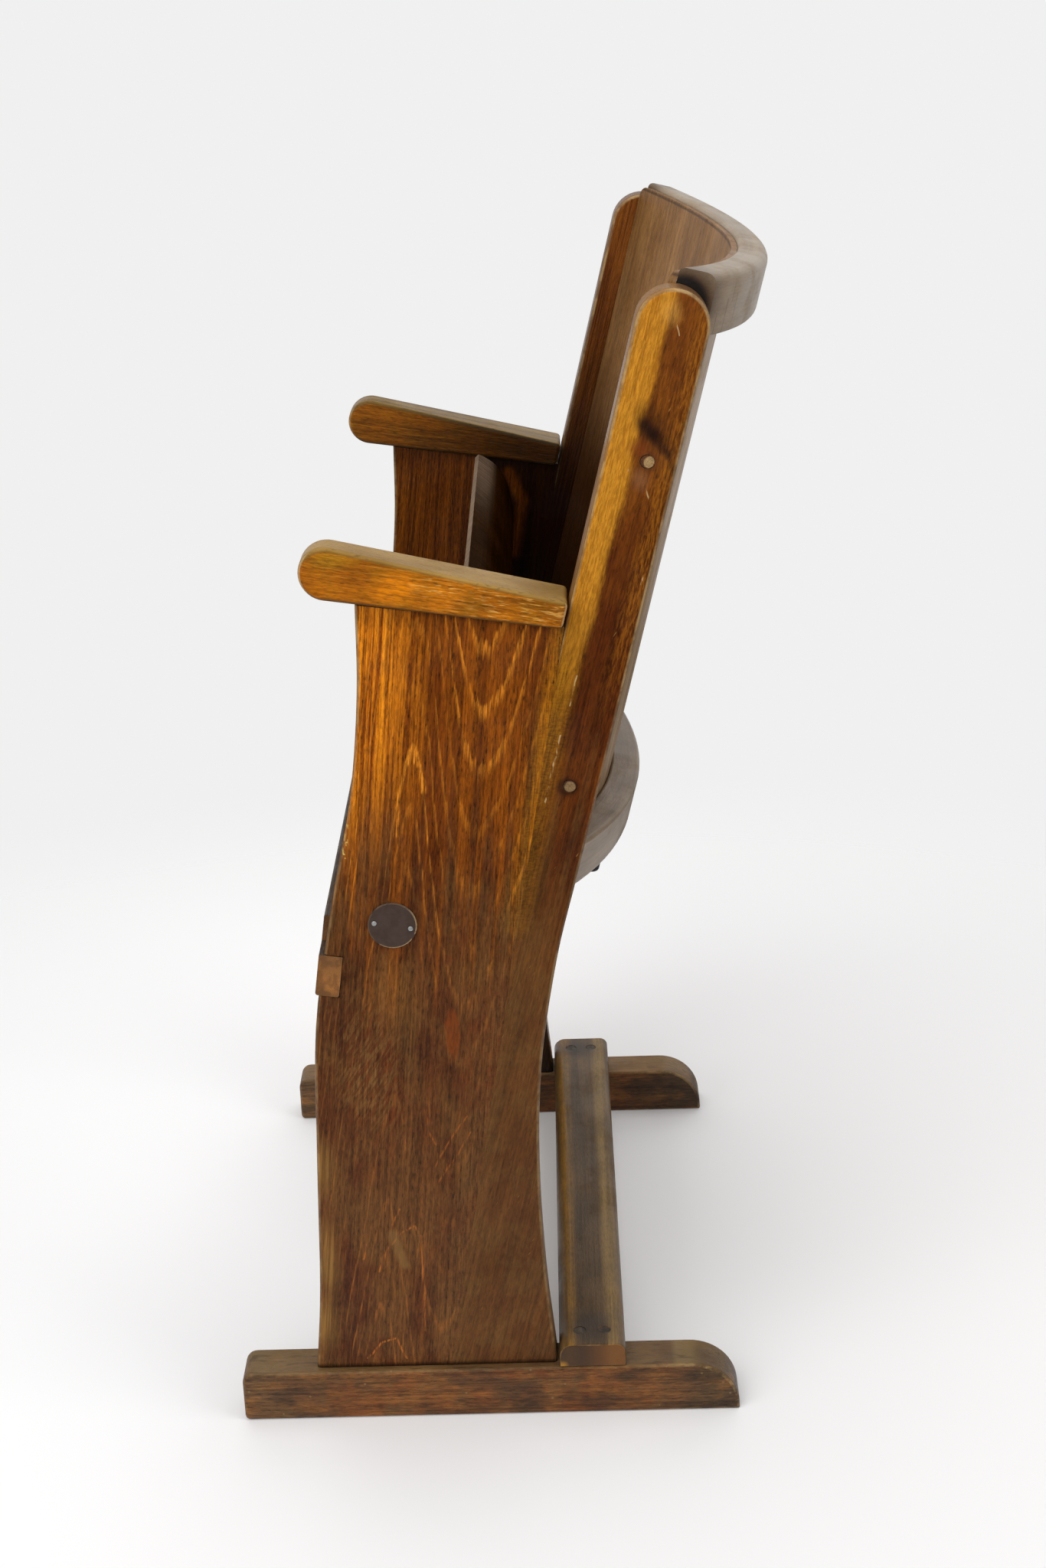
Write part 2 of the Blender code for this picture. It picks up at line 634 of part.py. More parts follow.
def make_back():
    tenons = dict(rail_tenons())
    make_rail("top_rail", TOP_RAIL_BOTTOM, TOP_RAIL_HEIGHT, tenons["top"], (1.0, 0.5, 0.5, 0.3))
    lower = make_rail("lower_rail", LOWER_RAIL_BOTTOM, LOWER_RAIL_HEIGHT, tenons["lower"],
                      (0.45, 0.3, 0.45, 0.3))
    outline = bent_outline(BACK_RADIUS, BACK_RADIUS + BACK_PLY, -rail_end, rail_end, ARC_STEPS)
    height = BACK_PLY_TOP - BACK_PLY_BOTTOM
    panel = plate("back_panel", outline, height, LEVEL_AXES)
    ply = add(panel, back_ply, back, (0, 0, (BACK_PLY_TOP + BACK_PLY_BOTTOM) / 2))

    def top_corner(first, second):
        ends = all(abs(abs(p.x) - rail_end) < 1e-5 and p.z > 0 for p in (first, second))
        return 1.0 if ends else 0.0

    soften(ply, BACK_PLY_CORNER, 5, top_corner)
    low = LOWER_RAIL_BOTTOM + LOWER_RAIL_HEIGHT + JOINT_GAP
    high = TOP_RAIL_BOTTOM - JOINT_GAP
    bumper_v = back_v(BUMPER_X, rail_mid_radius)
    for side, tag in ((1, "left"), (-1, "right")):
        ends = sorted((side * (rail_end - CLEAT_WIDTH), side * rail_end))
        outline = bent_outline(rail_inner_radius, rail_inner_radius + CLEAT_DEPTH, ends[0], ends[1], 4)
        cleat = add(plate(f"back_cleat_{tag}", outline, high - low, LEVEL_AXES), beech_rail, back,
                    (0, 0, (low + high) / 2))
        for level, u in zip(("lower", "upper"), dowel_heights):
            place, turn = dowel_place(side, u)
            name = f"{level}_dowel_{tag}"
            length = PANEL_THICKNESS / math.cos(DOWEL_SLANT) + DOWEL_BITE
            reach = 2 * (length + HOLE_GAP)
            hole = rod(f"{name}_hole", DOWEL_RADIUS + HOLE_GAP, reach, SMALL_ROUND_STEPS)
            combine(cleat, hole, "DIFFERENCE", back, place, turn)
            dowel = add(rod(name, DOWEL_RADIUS, 2 * length, SMALL_ROUND_STEPS), peg, back, place, turn)
            xs = sorted((side * (panel_outer - JOINT_GAP), side * (panel_outer + 0.2)))
            trim = block(name + "_trim", (xs[0], DOWEL_V - 0.1, u - 0.1), (xs[1], DOWEL_V + 0.1, u + 0.1))
            combine(dowel, trim, "DIFFERENCE", back)
        make_bumper(f"bumper_{tag}", lower, (side * BUMPER_X, bumper_v, LOWER_RAIL_BOTTOM - JOINT_GAP))


def make_bumper(name, rail, place):
    edge = 0.0025
    profile = [(0, -BUMPER_HEIGHT)]
    profile += arc((BUMPER_RADIUS - edge, -BUMPER_HEIGHT + edge), edge, 270, 360, 4)
    profile += [(BUMPER_RADIUS, 0), (BUMPER_STEM_RADIUS, 0), (BUMPER_STEM_RADIUS, BUMPER_STEM_LENGTH)]
    profile += [(0, BUMPER_STEM_LENGTH)]
    add(turned(name, profile, ROUND_STEPS), rubber, back, place)
    hole = rod(name + "_hole", BUMPER_STEM_RADIUS + HOLE_GAP, 2 * BUMPER_STEM_LENGTH + 0.002,
               SMALL_ROUND_STEPS)
    combine(rail, hole, "DIFFERENCE", back, place)


def make_stretcher():
    half = STRETCHER_WIDTH / 2
    top = STRETCHER_THICKNESS
    outline = [(half, 0), (-half, 0)]
    outline += arc((-half + STRETCHER_FRONT_RADIUS, top - STRETCHER_FRONT_RADIUS),
                   STRETCHER_FRONT_RADIUS, 180, 90, 8)
    outline += arc((half - STRETCHER_REAR_RADIUS, top - STRETCHER_REAR_RADIUS),
                   STRETCHER_REAR_RADIUS, 90, 0, 6)
    place = (0, stretcher_mid, FOOT_HEIGHT + JOINT_GAP)
    bar = add(plate("stretcher", outline, FEET_SPAN), beech_rail, root, place)
    soften(bar, STRETCHER_END_ROUND, 2, lambda a, b: 1.0 if abs(a.x - b.x) < 1e-6 else 0.0)
    for side, tag in ((1, "left"), (-1, "right")):
        for end, step in (("front", -0.5), ("rear", 0.5)):
            name = f"stretcher_screw_{tag}_{end}"
            spot = (side * (half_span - SCREW_INSET), stretcher_mid + step * SCREW_PITCH,
                    FOOT_HEIGHT + JOINT_GAP + STRETCHER_THICKNESS - SCREW_SUNK)
            depth = STRETCHER_THICKNESS + SCREW_BITE - SCREW_SUNK
            profile = [(0, 0), (SCREW_HEAD_RADIUS, 0), (SCREW_SHANK_RADIUS, -SCREW_HEAD_HEIGHT),
                       (SCREW_SHANK_RADIUS, -depth + SCREW_SHANK_RADIUS), (0, -depth)]
            add(turned(name, profile, SMALL_ROUND_STEPS), steel_dark, root, spot)
            wide = SCREW_HEAD_RADIUS + HOLE_GAP
            thin = SCREW_SHANK_RADIUS + HOLE_GAP
            hole = [(0, 0.005), (wide, 0.005), (wide, -HOLE_GAP / 2)]
            hole += [(thin, -HOLE_GAP / 2 - SCREW_HEAD_HEIGHT)]
            hole += [(thin, -STRETCHER_THICKNESS - 0.005), (0, -STRETCHER_THICKNESS - 0.005)]
            combine(bar, turned(name + "_hole", hole, SMALL_ROUND_STEPS), "DIFFERENCE", root, spot)


def make_front_rail():
    out = panel_outer + FRONT_RAIL_PROUD
    inside = panel_inner - JOINT_GAP
    end = FRONT_RAIL_END_HEIGHT
    full = FRONT_RAIL_HEIGHT
    outline = [(-out, 0), (out, 0), (out, end), (inside, end), (inside, full)]
    outline += [(-inside, full), (-inside, end), (-out, end)]
    mesh = plate("front_rail", outline, FRONT_RAIL_THICKNESS, UPRIGHT_AXES)
    rail = add(mesh, beech_rail, root, front_rail_place(), (-FRONT_RAIL_TILT, 0, 0))
    high = FRONT_RAIL_HEIGHT - 1e-4
    soften(rail, FRONT_RAIL_ARRIS, 3,
           lambda a, b: 1.0 if abs(a.z - b.z) < 1e-6 and abs(a.y - b.y) < 1e-6
           and (a.z < 1e-4 or a.z > high) else 0.0)


def make_pivots(side, tag):
    outward = (0, side * math.pi / 2, 0)
    bore_end = panel_outer - CUP_FLOOR
    hub = PANEL_THICKNESS
    bore = PIN_RADIUS + PIVOT_GAP
    face = JOINT_GAP + PLATE_THICKNESS
    profile = [(0, face), (PLATE_RADIUS - 0.0004, face), (PLATE_RADIUS, face - 0.0004)]
    profile += [(PLATE_RADIUS, JOINT_GAP), (CUP_RADIUS, JOINT_GAP), (CUP_RADIUS, -hub)]
    profile += [(bore, -hub), (bore, -CUP_FLOOR), (0, -CUP_FLOOR)]
    place = (side * panel_outer, PIVOT_Y, PIVOT_Z)
    cup = add(turned(f"pivot_cup_{tag}", profile, ROUND_STEPS), plate_brown, root, place, outward)
    for rivet_tag, y, z in rivet_places():
        name = f"{rivet_tag}_{tag}"
        spot = (side * (panel_outer + JOINT_GAP + PLATE_THICKNESS + JOINT_GAP), y, z)
        head = RIVET_HEAD_RADIUS
        low = -RIVET_BITE - JOINT_GAP - PLATE_THICKNESS
        profile = [(0, RIVET_HEAD_HEIGHT), (head * 0.6, RIVET_HEAD_HEIGHT * 0.85),
                   (head, RIVET_HEAD_HEIGHT * 0.25), (head, 0), (RIVET_SHANK_RADIUS, 0),
                   (RIVET_SHANK_RADIUS, low), (0, low)]
        add(turned(name, profile, SMALL_ROUND_STEPS), steel_bright, root, spot, outward)
        hole = rod(f"{name}_plate_hole", RIVET_SHANK_RADIUS + HOLE_GAP, 0.02, SMALL_ROUND_STEPS)
        combine(cup, hole, "DIFFERENCE", root, spot, outward)
    inner = bearer_outer - BEARER_THICKNESS
    collar_start = bearer_outer + COLLAR_GAP
    collar_end = panel_inner - COLLAR_GAP
    tip = bore_end - COLLAR_GAP
    profile = [(0, inner), (PIN_RADIUS, inner), (PIN_RADIUS, collar_start)]
    profile += [(COLLAR_RADIUS, collar_start), (COLLAR_RADIUS, collar_end)]
    profile += [(PIN_RADIUS, collar_end), (PIN_RADIUS, tip - 0.001), (PIN_RADIUS - 0.001, tip), (0, tip)]
    add(turned(f"pivot_pin_{tag}", profile, ROUND_STEPS), steel_dark, pivot, (0, 0, 0), outward)


def to_seat(y, z):
    """Where a fixed place lies from the pivot, in the seat's lowered position, when it is tipped up."""
    turn = Vector((y - PIVOT_Y, z - PIVOT_Z))
    turn.rotate(Matrix.Rotation(TIP_ANGLE, 2))
    return turn.x, turn.y


def make_seat():
    line = smooth(SEAT_LINE, 4)
    under = offset_line(line, SEAT_PLY)
    outline = line + under[::-1]
    ply = add(plate("seat_panel", outline, 2 * seat_half), seat_ply, pivot)
    half = seat_half
    front = min(y for y, z in line) - 0.0002
    rear = SEAT_LINE[-1][0] + 0.01
    plan = [(half + 0.01, rear), (-half - 0.01, rear)]
    plan += arc((-half + SEAT_CORNER, front + SEAT_CORNER), SEAT_CORNER, 180, 270, 8)
    plan += arc((half - SEAT_CORNER, front + SEAT_CORNER), SEAT_CORNER, 270, 360, 8)
    plan[2] = (-half - 0.01, plan[2][1])
    plan[-1] = (half + 0.01, plan[-1][1])
    combine(ply, plate("seat_plan", plan, 0.4, LEVEL_AXES), "INTERSECT")

    top = offset_line(line, SEAT_PLY + JOINT_GAP)
    place = front_rail_place()
    reach = FRONT_RAIL_THICKNESS / 2
    rail_rear = (place[1] + reach * math.cos(FRONT_RAIL_TILT),
                 place[2] - reach * math.sin(FRONT_RAIL_TILT))
    stop = to_seat(*rail_rear)
    floor = stop[1] + STOP_GAP
    rise = FRONT_RAIL_HEIGHT * math.cos(FRONT_RAIL_TILT)
    rest = place[2] + rise + reach * math.sin(FRONT_RAIL_TILT) - PIVOT_Z + BEARER_REST_GAP
    bearer_top = between(top, BEARER_FRONT, BEARER_REAR)
    bottom = [(BEARER_REAR, bearer_top[-1][1] - BEARER_REAR_DEPTH), (stop[0] + 0.014, floor),
              (BEARER_STEP_REAR, floor), (BEARER_STEP_FRONT, rest), (BEARER_FRONT, rest + 0.004)]
    for side, tag in ((1, "left"), (-1, "right")):
        x = side * (bearer_outer - BEARER_THICKNESS / 2)
        bearer = add(plate(f"seat_bearer_{tag}", bearer_top + bottom, BEARER_THICKNESS), beech_under,
                     pivot, (x, 0, 0))
        hole = rod(f"seat_bearer_{tag}_hole", PIN_RADIUS + HOLE_GAP, 2 * BEARER_THICKNESS, ROUND_STEPS)
        combine(bearer, hole, "DIFFERENCE", None, (0, 0, 0), (0, math.pi / 2, 0))
    width = 2 * (bearer_outer - BEARER_THICKNESS - JOINT_GAP)
    for tag, (low, high) in (("front", FRONT_BATTEN), ("rear", REAR_BATTEN)):
        shape = between(top, low, high)
        base = min(z for y, z in shape) - BATTEN_THICKNESS
        outline = shape + [(high, base), (low, base)]
        add(plate(f"seat_batten_{tag}", outline, width), beech_under, pivot)


for old in list(bpy.data.objects):
    bpy.data.objects.remove(old, do_unlink=True)
parts = bpy.data.collections.new("cinema_seat")
cutters = bpy.data.collections.new("cutters")
for group in (parts, cutters):
    bpy.context.scene.collection.children.link(group)
cutters.hide_render = True

beech = make_material("beech_stained", (0.23, 0.10, 0.035), 0.42, 0)
beech_arm = make_material("beech_arm", (0.36, 0.17, 0.04), 0.40, 0)
beech_dark = make_material("beech_feet", (0.16, 0.09, 0.04), 0.45, 0)
beech_rail = make_material("beech_rail", (0.20, 0.15, 0.11), 0.45, 0)
beech_under = make_material("beech_under_seat", (0.30, 0.20, 0.11), 0.6, 0)
back_ply = make_material("back_plywood", (0.26, 0.17, 0.09), 0.42, 0)
seat_ply = make_material("seat_plywood", (0.16, 0.09, 0.04), 0.35, 0)
peg = make_material("dowel_wood", (0.55, 0.40, 0.22), 0.6, 0)
plate_brown = make_material("pivot_plate_brown", (0.08, 0.06, 0.055), 0.45, 0.6)
steel_bright = make_material("rivet_steel", (0.62, 0.62, 0.60), 0.3, 1)
steel_dark = make_material("screw_steel", (0.14, 0.12, 0.11), 0.45, 1)
rubber = make_material("bumper_rubber", (0.02, 0.02, 0.02), 0.7, 0)

round_u = TOP_RAIL_BOTTOM + TOP_RAIL_HEIGHT - RAIL_ROUND
round_v = back_v(0, rail_outer_radius) - RAIL_ROUND
rear_most = from_back(round_v, round_u)[0] + RAIL_ROUND
root = make_empty("seat_root", None, (0, (FOOT_LENGTH / 2 - rear_most) / 2, 0))
back = make_empty("back_slope", root, (0, 0, 0), (-BACK_SLOPE, 0, 0))
pivot = make_empty("seat_pivot", root, (0, PIVOT_Y, PIVOT_Z), (-TIP_ANGLE, 0, 0))

for side_sign, side_name in ((1, "left"), (-1, "right")):
    make_foot(side_sign, f"foot_{side_name}")
    make_side_board(side_sign, f"side_board_{side_name}")
    make_post(side_sign, f"post_{side_name}")
    make_arm(side_sign, f"arm_{side_name}")
    make_pivots(side_sign, side_name)
make_back()
make_stretcher()
make_front_rail()
make_seat()
for piece in parts.objects:
    if piece.modifiers:
        even = piece.modifiers.new("even_shading", "WEIGHTED_NORMAL")
        even.keep_sharp = True
bpy.context.view_layer.update()
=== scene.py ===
"""Looks of a worn cinema seat in stained and varnished beech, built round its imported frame.

Metres, +Z up; the sitter faces -Y and the near side of the photograph is +X.
Colours are written as display values from 0 to 255.
"""
import math

import bpy
from mathutils import Matrix, Vector


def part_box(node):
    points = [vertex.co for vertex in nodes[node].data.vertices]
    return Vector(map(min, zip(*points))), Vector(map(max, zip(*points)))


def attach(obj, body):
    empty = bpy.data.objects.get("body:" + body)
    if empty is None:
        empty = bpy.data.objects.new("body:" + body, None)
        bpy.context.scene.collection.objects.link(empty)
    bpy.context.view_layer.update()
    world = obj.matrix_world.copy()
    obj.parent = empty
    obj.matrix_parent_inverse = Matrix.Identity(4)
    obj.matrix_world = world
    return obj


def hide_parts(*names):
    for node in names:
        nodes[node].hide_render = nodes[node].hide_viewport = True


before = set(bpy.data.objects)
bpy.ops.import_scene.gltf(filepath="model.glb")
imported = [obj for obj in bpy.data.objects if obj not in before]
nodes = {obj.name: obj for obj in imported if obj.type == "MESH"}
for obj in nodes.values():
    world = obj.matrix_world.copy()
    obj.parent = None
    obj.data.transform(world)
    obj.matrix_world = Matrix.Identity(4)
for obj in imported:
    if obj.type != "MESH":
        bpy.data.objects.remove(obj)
scene = bpy.context.scene
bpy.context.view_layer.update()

# Places of the frame that the looks follow, and half the width over which the near side turns to the far one
foot_low, foot_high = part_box("foot_left")
feet_middle = (foot_low.y + foot_high.y) / 2
face_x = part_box("side_board_left")[1].x
far_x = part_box("side_board_right")[1].x
SIDE_BLEND = 0.03

# The bent back: its slope, the centre of its bend, and the plywood's front radius, thickness and top edge
BACK_SLOPE = math.radians(14)
BACK_CENTRE = -0.4653
BACK_RADIUS = 0.4555
BACK_PLY = 0.0045
BACK_TOP = 0.8785

# How the copies of the nodes are smoothed: distances, then angles in degrees
MERGE = 1e-5
JOINT_GAP = 0.0003
FINE_EDGE = 0.0004
SMALL_EDGE = 0.0006
MEDIUM_EDGE = 0.0008
SOFT_EDGE = 0.001
FLAT_ANGLE = 0.2
EDGE_ANGLE = 45
SMOOTH_ANGLE = 38

# Crown figure of the side boards: its slant, its tongues as centre, bluntness and steepness (the first points
# down, the second up), and the spacing and shift of its lines up the board
CROWN_SLANT = 8.0
CROWN_TONGUES = ((-0.066, 0.024, 7.5), (-0.110, 0.008, -9.5))
CROWN_STEP = 0.0456
CROWN_PHASE = 1.276

# How the grain of the pieces is turned from upright, in radians round X, Y and Z
GRAIN_UP = (0.1, 0, 0)
GRAIN_BACK = (BACK_SLOPE, 0, 0)
GRAIN_ARM = (math.pi / 2 + 0.17, 0, 0)
GRAIN_DEEP = (math.pi / 2, 0, 0)
GRAIN_WIDE = (0, -math.pi / 2, 0)
GRAIN_SLANTED = (0.55, 0, 0)
STREAK_SLANT = (0, 0.5, 0)

# Marks on the near outer face of the side frame, as places (y, z)
GLUE_UPPER = ((0.0575, 0.640), (0.0345, 0.520), (0.0136, 0.4149))
GLUE_LOWER = ((0.0096, 0.4149), (-0.0485, 0.0446))
BOARD_STREAK = ((-0.034, 0.61), (-0.043, 0.45))
BOARD_ARCH = ((-0.069, 0.486), (-0.066, 0.515), (-0.060, 0.538), (-0.055, 0.544), (-0.049, 0.536),
              (-0.048, 0.518))
BOARD_SCUFF = ((-0.088, 0.160), (-0.084, 0.144), (-0.080, 0.133))
BOARD_CHIPS = ((-0.0999, 0.525), (-0.1009, 0.516), (-0.1048, 0.4846), (-0.1060, 0.4688))
POST_RUB = ((0.0487, 0.557), (0.0430, 0.533), (0.0365, 0.506))
POST_SCRATCHES = (
    ((0.061, 0.600), (0.056, 0.579)), ((0.099, 0.743), (0.098, 0.736)), ((0.110, 0.730), (0.114, 0.717)),
    ((0.1315, 0.8385), (0.1335, 0.831)), ((0.109, 0.675), (0.106, 0.664)))

# Middles of the dowels' pale cores as places (y, z), and a radius along X that takes in both side frames
DOWEL_CORES = ((0.0543, 0.5187), (0.1132, 0.7474))
BOTH_SIDES = 9

# Thin bright lines in the lower figure of the near side board, as places (y, z) too
FACE_LINES = (
    ((-0.058, 0.266), (-0.057, 0.250), (-0.052, 0.237)), ((-0.028, 0.260), (-0.045, 0.235), (-0.054, 0.217)),
    ((-0.026, 0.246), (-0.035, 0.230), (-0.052, 0.204)), ((-0.065, 0.204), (-0.064, 0.183)),
    ((-0.082, 0.182), (-0.088, 0.168)), ((-0.109, 0.152), (-0.111, 0.139)),
    ((-0.067, 0.156), (-0.067, 0.074)),
    ((-0.100, 0.128), (-0.092, 0.148), (-0.081, 0.162), (-0.071, 0.167), (-0.067, 0.158), (-0.067, 0.138)),
    ((-0.113, 0.050), (-0.101, 0.064), (-0.090, 0.068), (-0.083, 0.049)))

# Olive patches by the front edge of the near side board: middle (y, z) and half height
OLIVE_PATCHES = ((-0.139, 0.222, 0.034), (-0.137, 0.140, 0.05), (-0.142, 0.082, 0.034))

# The knot of the near post as strokes: both ends (y, z), half width, soft rim and strength
KNOT = (
    (((0.1110, 0.7790), (0.1190, 0.7640)), 0.001, 0.0140, 0.5),
    (((0.1095, 0.7730), (0.1150, 0.7665)), 0.0006, 0.0075, 0.8),
    (((0.1150, 0.7665), (0.1245, 0.7535)), 0.0003, 0.0062, 0.6),
    (((0.1245, 0.7535), (0.1300, 0.7390)), 0.0001, 0.0050, 0.45))

# Where the two tones of the near post meet: place across the sloped post, tilt, and the height it tilts from
POST_SPLIT = -0.0599 + feet_middle * math.cos(BACK_SLOPE)
POST_SPLIT_TILT = -0.02
POST_SPLIT_TOP = 0.852

# A painted streak of light, where light falls in by the seat, across the painted shade of the far board's
# inner face, as places (y, z)
PAINTED_LIGHT_STREAK = ((0.0100, 0.629), (0.0225, 0.603), (0.0140, 0.558))

# Cracks in the top rail's outer face: place round the bend, low end up the slope, and height; then its radius
RAIL_CRACKS = ((0.168, 0.845, 0.018), (0.178, 0.858, 0.012), (0.186, 0.838, 0.022), (0.202, 0.836, 0.014))
RAIL_OUTER = 0.483

# Camera, from the middle of the feet; the focal length is in pixels of the photograph's long side
PHOTO_LONG_SIDE = 2048
FOCAL_PIXELS = 3050
SENSOR = 36
CAMERA_PLACE = (1.761, 0.0665, 1.1149)
CAMERA_YAW = -0.0172
CAMERA_PITCH = 0.3729
CAMERA_ROLL = -0.0343

# Lamps: name, place, aim, size and power; then the world's strength as light and in reflections
LAMPS = (
    ("key", (1.9, -1.3, 2.0), (0, 0, 0.4), (2.6, 2.6), 48),
    ("fill", (1.0, 1.9, 1.4), (0, 0, 0.4), (1.4, 1.4), 14),
    ("top", (-0.2, 0, 2.7), (0, 0, 0), (2.4, 2.4), 24),
    ("backdrop", (-1.5, 0, 0.9), (0, 0, 0.9), (3.0, 1.8), 14))
WORLD_LIGHT = 0.38
WORLD_GLOSS = 0.06

# Floor: its width, and how far out it begins to fade and is gone
FLOOR_SIZE = 6
FLOOR_FADE = (0.45, 1.15)


def tone(red, green, blue):
    """A display colour as the linear colour that a shader takes."""
    linear = []
    for value in (red, green, blue):
        share = value / 255
        linear.append(share / 12.92 if share <= 0.04045 else ((share + 0.055) / 1.055) ** 2.4)
    return (*linear, 1)


def on_face(y, z):
    """A place on the outer face of the near side frame, as a vector for the pattern groups."""
    return face_x, y, z


# Shader node helpers
def feed(tree, socket, value):
    """Links a socket to the one that feeds it, or sets it to a plain value."""
    if isinstance(value, bpy.types.NodeSocket):
        tree.links.new(value, socket)
    else:
        socket.default_value = value


def put(tree, kind, values=None, **settings):
    """A shader node with its settings, and its inputs set or linked."""
    node = tree.nodes.new("ShaderNode" + kind)
    for name, setting in settings.items():
        setattr(node, name, setting)
    for name, value in (values or {}).items():
        feed(tree, node.inputs[name], value)
    return node


def calc(tree, operation, first, second=0.0, clamp=False):
    return put(tree, "Math", {0: first, 1: second}, operation=operation, use_clamp=clamp).outputs[0]


def product(tree, first, *others):
    for other in others:
        first = calc(tree, "MULTIPLY", first, other)
    return first


def invert(tree, mask):
    return calc(tree, "SUBTRACT", 1.0, mask)


def axis(tree, vector, name):
    """One of the three numbers of a vector."""
    return put(tree, "SeparateXYZ", {0: vector}).outputs[name]


def vector_calc(tree, operation, first, second=(0, 0, 0)):
    node = put(tree, "VectorMath", {0: first, 1: second}, operation=operation)
    return node.outputs["Value" if operation in ("LENGTH", "DOT_PRODUCT", "DISTANCE") else "Vector"]


def ease(tree, value, low, high, start=0.0, end=1.0):
    """Goes smoothly from start to end as the value goes from low to high."""
    values = {"Value": value, "From Min": low, "From Max": high, "To Min": start, "To Max": end}
    return put(tree, "MapRange", values, interpolation_type="SMOOTHSTEP").outputs["Result"]


def blend(tree, factor, first, second, kind="MIX"):
    values = {0: factor, 6: first, 7: second}
    return put(tree, "Mix", values, data_type="RGBA", blend_type=kind).outputs[2]


def darken(tree, colour, share):
    """A colour times a share."""
    grey = put(tree, "CombineColor", {0: share, 1: share, 2: share}).outputs[0]
    return blend(tree, 1.0, colour, grey, "MULTIPLY")


def noise(tree, vector, stretch, detail=2.0, roughness=0.5):
    """Noise on a vector whose axes are stretched; the numbers are cells to the metre."""
    scaled = vector_calc(tree, "MULTIPLY", vector, stretch)
    values = {"Vector": scaled, "Scale": 1.0, "Detail": detail, "Roughness": roughness}
    return put(tree, "TexNoise", values).outputs


def new_group(name, **inputs):
    """An empty shader group with named inputs, each given as a kind of socket or as its default."""
    group = bpy.data.node_groups.new(name, "ShaderNodeTree")
    for title, given in inputs.items():
        plain = isinstance(given, str)
        kind = given if plain else "Float" if isinstance(given, float) else "Vector"
        socket = group.interface.new_socket(title, in_out="INPUT", socket_type="NodeSocket" + kind)
        if not plain:
            socket.default_value = given
    return group, group.nodes.new("NodeGroupInput").outputs


def close_group(group, **outputs):
    """Gives a group its named outputs, each of the kind of what feeds it."""
    kinds = {"VALUE": "Float", "RGBA": "Color", "VECTOR": "Vector"}
    for title, source in outputs.items():
        group.interface.new_socket(title, in_out="OUTPUT", socket_type="NodeSocket" + kinds[source.type])
    made = group.nodes.new("NodeGroupOutput").inputs
    for title, source in outputs.items():
        group.links.new(source, made[title])
    return group


def make_grain_group():
    """Beech with the grain along Z: fine fibres, long lines, broad streaks, mottling and dark flecks."""
    group, given = new_group("beech_grain", Vector="Vector")
    masks = {}
    for name, stretch, detail, low, high in (
            ("Fibre", (1000, 1000, 150), 2.0, 0.36, 0.64), ("Lines", (430, 430, 8), 3.0, 0.36, 0.64),
            ("Streaks", (105, 105, 3.2), 3.0, 0.36, 0.64), ("Mottle", (30, 30, 12), 4.0, 0.32, 0.68),
            ("Flecks", (620, 620, 190), 1.0, 0.58, 0.7)):
        masks[name] = ease(group, noise(group, given["Vector"], stretch, detail, 0.6)[0], low, high)
    return close_group(group, **masks)


def make_weave_group():
    """Lays the fibres, long lines and dark flecks of the grain over a colour."""
    group, given = new_group("grain_shade", Color="Color", Fibre=0.5, Lines=0.5, Flecks=0.0, Amount=1.0)
    middle = product(group, calc(group, "ADD", given["Fibre"], given["Lines"]), 0.5)
    swing = product(group, calc(group, "SUBTRACT", middle, 0.5), given["Amount"])
    dark = product(group, given["Flecks"], given["Amount"], 0.3)
    share = calc(group, "SUBTRACT", calc(group, "ADD", swing, 1.04), dark)
    return close_group(group, Color=darken(group, given["Color"], share))


def make_grime_group():
    """Old dirt in clouds over a colour."""
    group, given = new_group("old_dirt", Vector="Vector", Color="Color", Dirt="Color", Amount=0.5)
    cloud = ease(group, noise(group, given["Vector"], (46, 46, 46), 5.0, 0.7)[0], 0.42, 0.66)
    mask = product(group, cloud, given["Amount"])
    return close_group(group, Color=blend(group, mask, given["Color"], given["Dirt"]))


def make_wander_group():
    """Shakes a place a little, so that drawn marks lose their ruled edges."""
    group, given = new_group("wander", Vector="Vector")
    cells = noise(group, given["Vector"], (75, 75, 75), 3.0)["Color"]
    step = vector_calc(group, "MULTIPLY", vector_calc(group, "SUBTRACT", cells, (0.5,) * 3), (0.0025,) * 3)
    return close_group(group, Vector=vector_calc(group, "ADD", given["Vector"], step))


def make_stain_group():
    """How far the bright stain of the upper side frame reaches down, 1 above and 0 below."""
    group, given = new_group("bright_stain", Vector="Vector", Streaks=0.5)
    wander = product(group, calc(group, "SUBTRACT", given["Streaks"], 0.5), 0.12)
    height = calc(group, "ADD", axis(group, given["Vector"], "Z"), wander)
    return close_group(group, Mask=ease(group, height, 0.37, 0.56))


def make_far_shade_group():
    """Darkens the inner face of the far side frame: partly a deeper stain, partly painted shade where the
    near side and the seat keep the light off it.
    """
    group, given = new_group("far_stain_and_shade", Vector="Vector", Normal="Vector", Color="Color", Share=0.5)
    side = ease(group, axis(group, given["Vector"], "X"), -SIDE_BLEND, SIDE_BLEND, 1.0, 0.0)
    inward = ease(group, axis(group, given["Normal"], "X"), 0.2, 0.7)
    lost = product(group, side, inward, invert(group, given["Share"]))
    return close_group(group, Color=darken(group, given["Color"], invert(group, lost)))


def make_dust_group():
    """Dark dust in the joint over the foot."""
    group, given = new_group("joint_dust", Vector="Vector")
    over = calc(group, "ABSOLUTE", calc(group, "SUBTRACT", axis(group, given["Vector"], "Z"), foot_high.z))
    return close_group(group, Mask=ease(group, over, 0.0006, 0.005, 1.0, 0.0))


